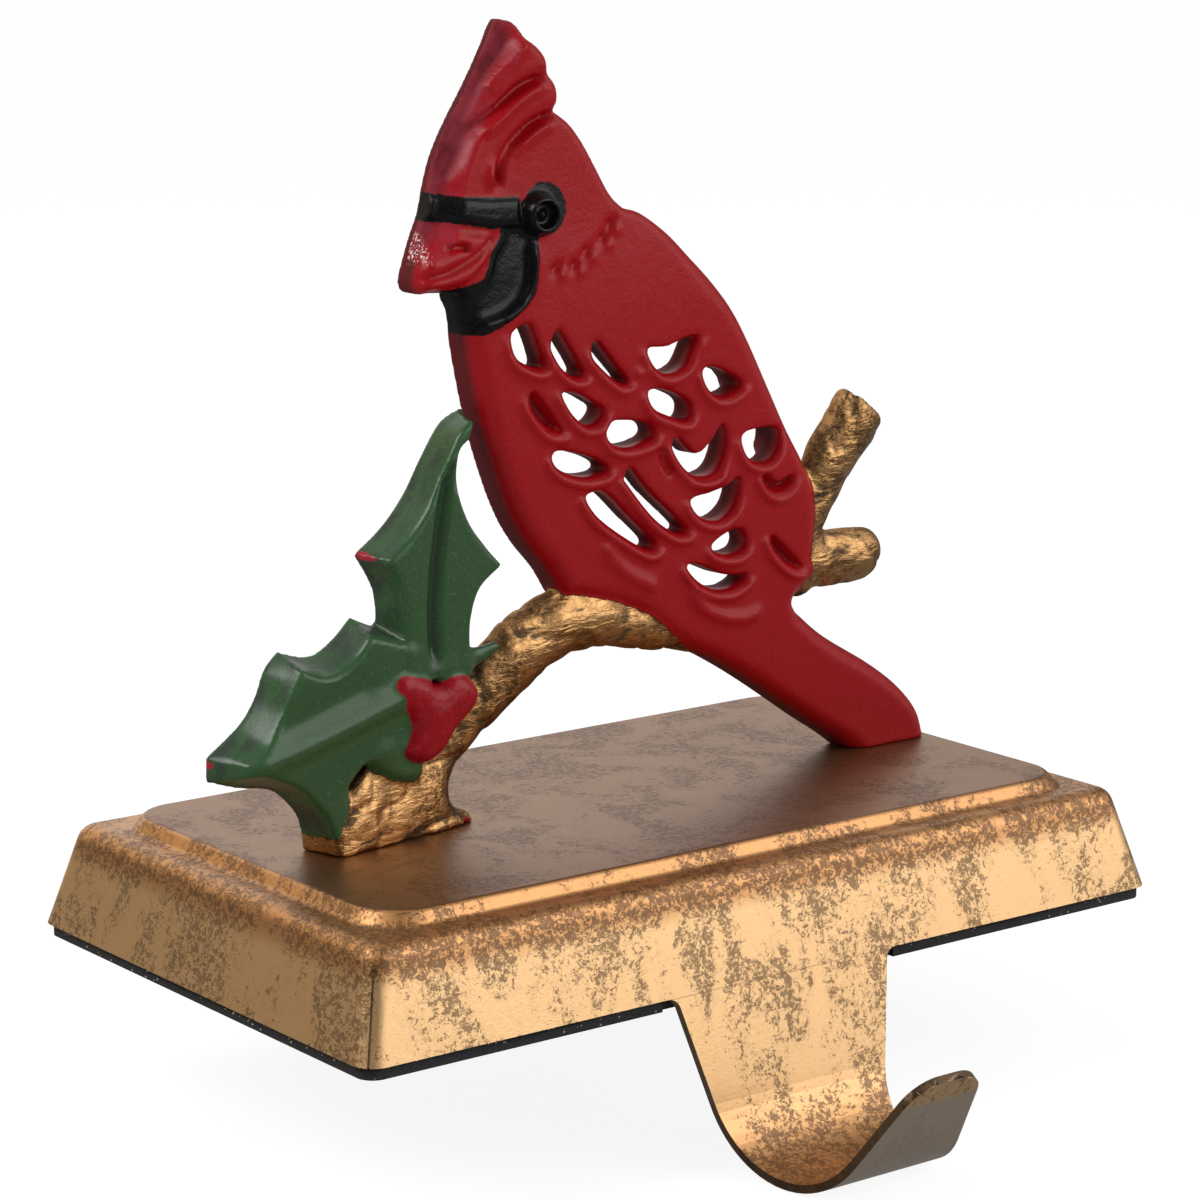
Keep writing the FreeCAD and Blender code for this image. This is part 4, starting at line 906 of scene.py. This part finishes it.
LOWER_LEAF_FRONT = {
    "joint": [(-40.0, 49.4), (-43.4, 51.0)],
    "first hollow": [(-48.0, 52.4), (-50.6, 49.4), (-53.4, 47.6), (-56.2, 47.3)],
    "second hollow": [(-60.0, 49.0), (-61.6, 46.0), (-63.4, 42.4), (-66.0, 38.8)],
    "tip": [(-69.9, 36.2)],
    "under edge": [(-69.8, 34.8), (-64.6, 33.6), (-60.3, 31.3), (-57.8, 28.4), (-55.6, 25.2)],
    "foot": [(-53.6, 16.0)],
    "foot right": [(-52.6, 16.0)],
    "inner edge": [(-52.4, 30.6), (-48.4, 33.9)],
    "inner end": [(-40.0, 34.6)],
}


def leaf(back_outline, front_outline, face_relief):
    """A plate whose outline changes from back to front, with relief on its face."""
    back_gap = outline_distance(closed_outline(back_outline))
    back_gap -= LEAF_EDGE_ROOM * ease(-EDGE_TURN * np.gradient(back_gap, VOXEL)[0])
    front_gap = outline_distance(closed_outline(front_outline))
    share = np.clip((DEPTH - LEAF_FRONT_Y) / (LEAF_BACK_Y - LEAF_FRONT_Y), 0, 1)
    sides = deep(front_gap) * (1 - share) + deep(back_gap) * share
    return slab(sides, LEAF_FRONT_Y - face_relief, LEAF_BACK_Y, LEAF_ROUND, LEAF_BACK_ROUND)


UPPER_RIB = [(-33.0, 77.0), (-34.7, 71.2), (-36.2, 62.0), (-36.8, 54.0), (-36.4, 45.6)]
LOWER_RIB = [(-70.5, 35.2), (-58.0, 38.3), (-45.0, 42.0), (-41.0, 43.0)]
LOWER_VALLEY = [(-62.0, 41.4), (-50.0, 45.0)]
upper_leaf = leaf(UPPER_LEAF_BACK, UPPER_LEAF_FRONT, line_relief(UPPER_RIB, -1.5, 1.0))
lower_face = line_relief(LOWER_RIB, 1.3, 1.9) - 0.5 * ridge(line_distance(LOWER_VALLEY), 2.4)
lower_leaf = leaf(LOWER_LEAF_BACK, LOWER_LEAF_FRONT, lower_face)
leaf_spur = bar([(-33.5, 45.6, 2.0), (-28.4, 46.6, 1.5), (-24.4, 47.6, 0.8)], -3.6)
leaf_root = bar([(-45.6, 34.0, 2.6), (-42.8, 32.0, 2.3), (-40.0, 31.0, 1.8)], -3.8)
leaves = soft_union(upper_leaf, lower_leaf, 1.4)
leaves = soft_union(leaves, np.minimum(leaf_spur, leaf_root), 2.0)

# %% Berries
BERRY_OUTLINE = [(-40.9, 46.1), (-43.2, 46.1), (-44.6, 44.3), (-44.0, 41.8), (-41.8, 39.4), (-41.6, 37.0),
                 (-42.6, 34.8), (-41.6, 33.0), (-38.4, 32.0), (-35.3, 33.6), (-32.9, 36.6), (-29.7, 39.3),
                 (-28.9, 41.8), (-30.8, 44.3), (-33.6, 45.0), (-36.2, 43.6), (-38.2, 45.0)]
BERRY_FRONT_Y, BERRY_BACK_Y, BERRY_ROUND = -7.4, 2.0, 1.9
BERRY_CROWN, BERRY_SLOPE = 0.8, 4.5
berry_gap = outline_distance(closed_loop(BERRY_OUTLINE))
berry_front = BERRY_FRONT_Y + BERRY_CROWN * (1 - np.clip(-berry_gap / BERRY_SLOPE, 0, 1))
berries = slab(deep(berry_gap), berry_front, BERRY_BACK_Y, BERRY_ROUND, LEAF_BACK_ROUND)

# %% [markdown]
# ## From distances to a mesh
#
# OpenVDB walks the block and lays four-sided faces where the joined distance is zero. Each
# vertex then keeps how far it lies from every paint edge, and the material draws the edges
# from that, much finer than the mesh itself.

# %% The casting's surface
solid = bird
for form, fillet in ((branch, 0.8), (leaves, 0.7), (berries, 0.5)):
    solid = soft_union(solid, form, fillet)
solid = np.maximum(solid, PANEL_TOP - HEIGHT)
solid = np.maximum(solid, HEIGHT - CREST_TOP)
BAND = 3 * VOXEL
ORIGIN = np.array([xs[0], ys[0], zs[0]])


def surface_of(field):
    """Points in millimetres and four-sided faces of the field's zero surface."""
    grid = openvdb.FloatGrid(BAND)
    grid.copyFromArray(np.clip(field, -BAND, BAND).astype(np.float32))
    points, quads = grid.convertToQuads(isovalue=0.0)
    return points * VOXEL + ORIGIN, quads[:, ::-1]


def sample(field, places):
    """A block field read at any places, straight between its cubes."""
    steps = (places - ORIGIN) / VOXEL
    field = np.broadcast_to(field, (len(xs), len(ys), len(zs)))
    low = np.clip(np.floor(steps).astype(int), 0, np.array(field.shape) - 2)
    share = np.clip(steps - low, 0, 1)
    value = np.zeros(len(places), np.float32)
    for corner in np.ndindex(2, 2, 2):
        weight = np.prod(np.where(corner, share, 1 - share), axis=1)
        value += weight * field[tuple((low + corner).T)]
    return value


places, quads = surface_of(solid)
print("surface:", len(places), "points,", len(quads), "quads")

casting_mesh = bpy.data.meshes.new("cardinal")
standing = places + np.array([0.0, FIGURE_Y, 0.0])
casting_mesh.from_pydata((standing * MM).tolist(), [], quads.tolist())
casting_mesh.shade_smooth()
casting = in_scene("cardinal", casting_mesh)

# %% Paint masks on the casting
GOLD_FOOT_Z = 22.8
BLOB_PLACE, BLOB_RADIUS = (EYE_PLACE[0] + 1.3, EYE_PLACE[1] + 0.7), 4.0
WEAR_PLACE, WEAR_SHAPE = (-35.6, 109.0), (1.3, 0.6)
RED_CHIPS = [(-46.0, 63.7, 0.7), (-72.8, 35.8, 0.5), (-41.2, 34.4, 0.8), (-28.4, 20.4, 0.9),
             (-31.4, 20.2, 0.6)]
FRONT_ONLY, FAR_OFF = CASTING_BACK - 1.4, 10.0


def disc_gap(place, radius=0.0, shape=(1.0, 1.0)):
    """Distance to a disc, which the shape can squeeze."""
    return np.hypot(shape[0] * (GRID_X - place[0]), shape[1] * (GRID_Z - place[1])) - radius


black_gap = np.minimum.reduce([brow_gap, throat_gap, eye_distance - EYE_RADIUS - EYE_MARGIN,
                               disc_gap(BLOB_PLACE, BLOB_RADIUS)])
leaf_gap = np.maximum(leaves, GOLD_FOOT_Z - HEIGHT)
leaf_foot = np.maximum(leaves, HEIGHT - GOLD_FOOT_Z)
red_form = np.minimum(bird, berries)
chip_gap = np.minimum.reduce([disc_gap((x, z), radius) for x, z, radius in RED_CHIPS])
rib_gap = np.minimum(line_distance(UPPER_RIB), line_distance(LOWER_RIB) + 0.6)
behind = np.where(places[:, 1] > FRONT_ONLY, FAR_OFF, 0.0)
masks = {
    "black": sample(deep(black_gap), places),
    "green": sample(leaf_gap - np.minimum(red_form, branch), places),
    "gold": sample(np.minimum(branch, leaf_foot) - np.minimum(red_form, leaf_gap), places),
    "berry": sample(berries - np.minimum(np.minimum(bird, leaves), branch), places),
    "sunk": places[:, 1] - np.interp(places[:, 2], lean_line[:, 0], lean_line[:, 1]),
    "bevel": sample(deep(crest_front), places) + behind,
    "chip": sample(deep(chip_gap), places),
    "rib": sample(deep(rib_gap), places),
    "bark": sample(bark, places),
    "beak_wear_glint": sample(deep(disc_gap(WEAR_PLACE, shape=WEAR_SHAPE)), places) + behind,
}
for mask_name, values in masks.items():
    store(casting_mesh, mask_name, values)

# %% Paint of the casting
RED, RED_SPECK = paint(140, 5, 14), paint(153, 14, 24)
# Two reds for painted light: the first the darker red of painted shade, the second the paler red of a painted
# sheen.
RED_SHADE, RED_BEVEL_SHEEN = paint(84, 8, 16), paint(140, 42, 56)
BERRY, BERRY_SPECK, BERRY_DARK = paint(134, 8, 22), paint(158, 26, 38), paint(92, 14, 22)
BLACK, BLACK_SPECK = paint(12, 11, 12), paint(26, 25, 25)
# A near-white for bare metal on the beak, partly real wear and partly a painted glint.
WORN_GLINT, CHIP = paint(226, 204, 196), paint(140, 20, 34)
GREEN, GREEN_SPECK = paint(44, 74, 42), paint(58, 88, 56)
# A grey-black for dry brush and painted shade on the leaves' sides.
GREEN_DRY_BRUSH_SHADE, GREEN_RIB = paint(38, 44, 42), paint(22, 34, 22)
BARK_GOLD, BARK_BROWN = paint(174, 133, 87), paint(74, 53, 36)
BARK_UMBER, CREVICE = paint(88, 62, 40), paint(38, 28, 20)
BARK_GRAIN = {"Rotation": (0.0, 0.66, 0.0), "Scale": (0.3, 1.0, 1.0)}
RAGGED, FINE, SMEAR, STREAK = 900.0, 2300.0, 210.0, 820.0
PAINT_BUMP = 0.6 * MM


def casting_paint():
    """Red, black, green and gold, each kept to its own mask, over bark; painted shade darkens hollows, side
    walls and the leaves' sides, a painted sheen lightens the crest's bevel, and a painted glint specks the
    beak's worn edge.
    """
    material, tree, shader = new_material("painted_casting")
    place = place_in(tree)
    ragged_noise = noise(tree, place, RAGGED, 3.0, 0.6)
    fine = noise(tree, place, FINE, 2.0, 0.6)
    smear = noise(tree, place, SMEAR, 4.0, 0.65, 0.6)

    def mask(name, edge=0.0, ragged=0.25, soft=0.12):
        wobble = sums(tree, "MULTIPLY_ADD", ragged_noise, 2 * ragged, -ragged)
        return between(tree, sums(tree, "ADD", read(tree, name), wobble), edge + soft, edge - soft)

    def near(name, none, full):
        return between(tree, read(tree, name), none, full)

    def speckled(first, second):
        return blend(tree, between(tree, fine, 0.56, 0.70), first, second)

    # Painted shade: the deeper a point lies behind the bird's face, on side walls and in the feathers'
    # hollows, the darker its red.
    sunk = near("sunk", 1.0, 3.2)
    red = blend(tree, sunk, speckled(RED, RED_SPECK), RED_SHADE)
    # Painted sheen: the crest's long left bevel is painted a paler, pinker red.
    bevel_sheen = times(tree, near("bevel", 3.6, 3.0), between(tree, smear, 0.25, 0.6))
    red = blend(tree, bevel_sheen, red, RED_BEVEL_SHEEN, most=0.6)
    # The beak's worn edge: bare metal, partly real wear, painted as near-white specks that are partly a
    # painted glint.
    worn_beak_glint = times(tree, near("beak_wear_glint", 2.2, 0.8), between(tree, fine, 0.53, 0.60))
    red = blend(tree, worn_beak_glint, red, WORN_GLINT)
    berry = blend(tree, between(tree, smear, 0.56, 0.72), speckled(BERRY, BERRY_SPECK), BERRY_DARK, most=0.6)
    # Grey-black dry brush on the leaves' sides, behind their face: partly real paint, partly painted shade.
    dry_brush_and_shade = times(tree, near("sunk", -1.9, 0.2), between(tree, smear, 0.38, 0.62))
    green = blend(tree, dry_brush_and_shade, speckled(GREEN, GREEN_SPECK), GREEN_DRY_BRUSH_SHADE, most=0.75)
    green = blend(tree, near("rib", 0.9, 0.2), green, GREEN_RIB, most=0.55)
    along_branch = add(tree, "Mapping", {"Vector": place, **BARK_GRAIN}).outputs[0]
    streaks = noise(tree, along_branch, STREAK, 4.0, 0.62, 0.6)
    sockets = {"Place": place, "Patina": 0.42, "Gold": BARK_GOLD, "Brown": BARK_BROWN}
    gold = add(tree, "Group", sockets, node_tree=gold_group).outputs["Color"]
    gold = blend(tree, between(tree, smear, 0.46, 0.61), gold, BARK_UMBER, most=0.62)
    crevice = between(tree, sums(tree, "MULTIPLY_ADD", read(tree, "bark"), -0.5, streaks), 0.45, 0.28)
    gold = blend(tree, crevice, gold, CREVICE, most=0.85)

    black_mask, green_mask = mask("black", 0.0, 0.45), mask("green", 0.1, 0.35)
    gold_mask, berry_mask = mask("gold", 0.0, 0.5), mask("berry", 0.0, 0.15)
    colour = blend(tree, black_mask, red, speckled(BLACK, BLACK_SPECK))
    colour = blend(tree, berry_mask, colour, berry)
    colour = blend(tree, green_mask, colour, green)
    colour = blend(tree, gold_mask, colour, gold)
    colour = blend(tree, mask("chip", 0.0, 0.6), colour, CHIP)
    metal = times(tree, gold_mask, sums(tree, "SUBTRACT", 1.0, times(tree, crevice, 0.6)))
    gloss = sums(tree, "MULTIPLY_ADD", sums(tree, "MAXIMUM", black_mask, berry_mask), -0.10, 0.26)
    gloss = sums(tree, "MULTIPLY_ADD", sunk, 0.30, gloss)
    bark_height = times(tree, streaks, times(tree, gold_mask, 0.55))
    paint_height = sums(tree, "MULTIPLY_ADD", fine, 0.05, times(tree, smear, 0.25))
    feed(tree, shader, {
        "Base Color": colour, "Metallic": metal, "Roughness": sums(tree, "MULTIPLY_ADD", smear, 0.12, gloss),
        "Specular IOR Level": 0.17, "Coat Weight": times(tree, green_mask, 0.26), "Coat Roughness": 0.20,
        "Normal": bump(tree, sums(tree, "ADD", bark_height, paint_height), PAINT_BUMP)})
    return material


casting_mesh.materials.append(casting_paint())
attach(casting, "root")
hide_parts("cardinal_casting")

# %% [markdown]
# ## Camera, light and floor
#
# The camera stands where the photograph was taken from: low, to the left and about 60 cm
# away. White paper surrounds the object, so the world is white where the camera sees it, and
# two large soft lamps draw the highlights on the shoulders of the steel.

# %% Camera
CAMERA_PLACE = Vector((-0.35220, -0.46072, 0.173683))
CAMERA_HEADING = Vector((0.5932, 0.7779, -0.2072))
CAMERA_LENS, CAMERA_SENSOR = 114.2, 36.0
NEAREST_SEEN = 10 * MM
camera_data = bpy.data.cameras.new("camera")
camera_data.lens = CAMERA_LENS
camera_data.sensor_width = CAMERA_SENSOR
camera_data.clip_start = NEAREST_SEEN
camera = in_scene("camera", camera_data)
camera.location = CAMERA_PLACE
camera.rotation_euler = CAMERA_HEADING.to_track_quat("-Z", "Y").to_euler()
bpy.context.scene.camera = camera

# %% World and lamps
WHITE, WARM_WHITE, LAMP_ORANGE = (1, 1, 1, 1), (1.0, 0.99, 0.97, 1), (1.0, 0.78, 0.50, 1)
SOFT_WHITE, SOFT_LIGHT = (1.0, 0.985, 0.965, 1), 0.54
DARKEST_MIRRORED = 0.13
LEFT_SIDE = (-0.62, 0.76, 0.20)
# What shiny paint mirrors: a direction, where its glow starts and is full, and how bright it is.
MIRRORED_SIDES = {
    "window": ((0.60, -0.72, 0.35), 0.42, 0.97, 0.94),
    "left wall": (LEFT_SIDE, 0.55, 0.95, 0.13),
    "back wall": ((0.16, 0.86, 0.48), 0.62, 0.96, 1.10),
    "ceiling": ((0.0, 0.0, 1.0), 0.40, 0.95, 0.12),
}


def make_world():
    """White to the camera; a soft studio gradient to everything else."""
    world = bpy.data.worlds.new("studio")
    bpy.context.scene.world = world
    world.use_nodes = True
    tree = world.node_tree
    tree.nodes.clear()
    direction = add(tree, "TexCoord").outputs["Generated"]

    def toward(side, start, full, level=1.0):
        facing = add(tree, "VectorMath", {0: direction, 1: side}, operation="DOT_PRODUCT").outputs["Value"]
        return between(tree, facing, start, full, 0.0, level)

    bright = DARKEST_MIRRORED
    for side in MIRRORED_SIDES.values():
        bright = sums(tree, "ADD", toward(*side), bright)
    tint = blend(tree, toward(LEFT_SIDE, 0.70, 0.95), WARM_WHITE, LAMP_ORANGE)
    seen = add(tree, "LightPath").outputs
    soft = add(tree, "Background", {"Color": SOFT_WHITE, "Strength": SOFT_LIGHT})
    mirrored = add(tree, "Background", {"Color": tint, "Strength": bright})
    white = add(tree, "Background", {"Color": WHITE, "Strength": 1.0})
    inside = add(tree, "MixShader", {0: seen["Is Glossy Ray"], 1: soft.outputs[0], 2: mirrored.outputs[0]})
    chosen = add(tree, "MixShader", {0: seen["Is Camera Ray"], 1: inside.outputs[0], 2: white.outputs[0]})
    add(tree, "OutputWorld", {"Surface": chosen.outputs[0]})


def soft_lamp(name, place, size, power, target=Vector((0.0, 0.0, 0.05))):
    """A square area lamp that looks at the object's middle."""
    data = bpy.data.lights.new(name, "AREA")
    data.shape = "SQUARE"
    data.size = size
    data.energy = power
    lamp = in_scene(name, data)
    lamp.location = place
    lamp.rotation_euler = (target - Vector(place)).to_track_quat("-Z", "Y").to_euler()


make_world()
soft_lamp("lamp_right", place=(0.55, -0.75, 0.55), size=0.9, power=5.8)
soft_lamp("lamp_left", place=(-0.75, 0.15, 0.75), size=0.45, power=6.2)

# %% Floor
FLOOR_DROP = 0.2 * MM
FLOOR_REACH = 3.0
PAPER_WHITE, SHADOW_WHITE = (0.85, 0.85, 0.85, 1), (1, 0.98, 0.95, 1)
CAMERA_GLOW, MIRRORED_GLOW, GLOW_SHARE = 1.12, 0.30, 0.8


def floor_finish():
    """Matt white paper that glows to the camera, so only the shadow darkens it."""
    material, tree, shader = new_material("white_paper")
    feed(tree, shader, {"Base Color": PAPER_WHITE, "Roughness": 0.9, "Specular IOR Level": 0.0})
    seen = add(tree, "LightPath").outputs
    glow = add(tree, "Emission", {"Color": WHITE, "Strength": CAMERA_GLOW})
    dim = add(tree, "Emission", {"Color": SHADOW_WHITE, "Strength": MIRRORED_GLOW})
    camera_share = times(tree, seen["Is Camera Ray"], GLOW_SHARE)
    below = add(tree, "MixShader", {0: seen["Is Glossy Ray"], 1: shader.outputs[0], 2: dim.outputs[0]})
    chosen = add(tree, "MixShader", {0: camera_share, 1: below.outputs[0], 2: glow.outputs[0]})
    feed(tree, tree.nodes["Material Output"], {"Surface": chosen.outputs[0]})
    return material


floor_mesh = bpy.data.meshes.new("floor")
floor_corners = [(x * FLOOR_REACH, y * FLOOR_REACH, cad_low.z - FLOOR_DROP)
                 for x, y in ((-1, -1), (1, -1), (1, 1), (-1, 1))]
floor_mesh.from_pydata(floor_corners, [], [(0, 1, 2, 3)])
floor_mesh.materials.append(floor_finish())
floor = in_scene("floor", floor_mesh)
bpy.context.scene.view_settings.view_transform = "Standard"
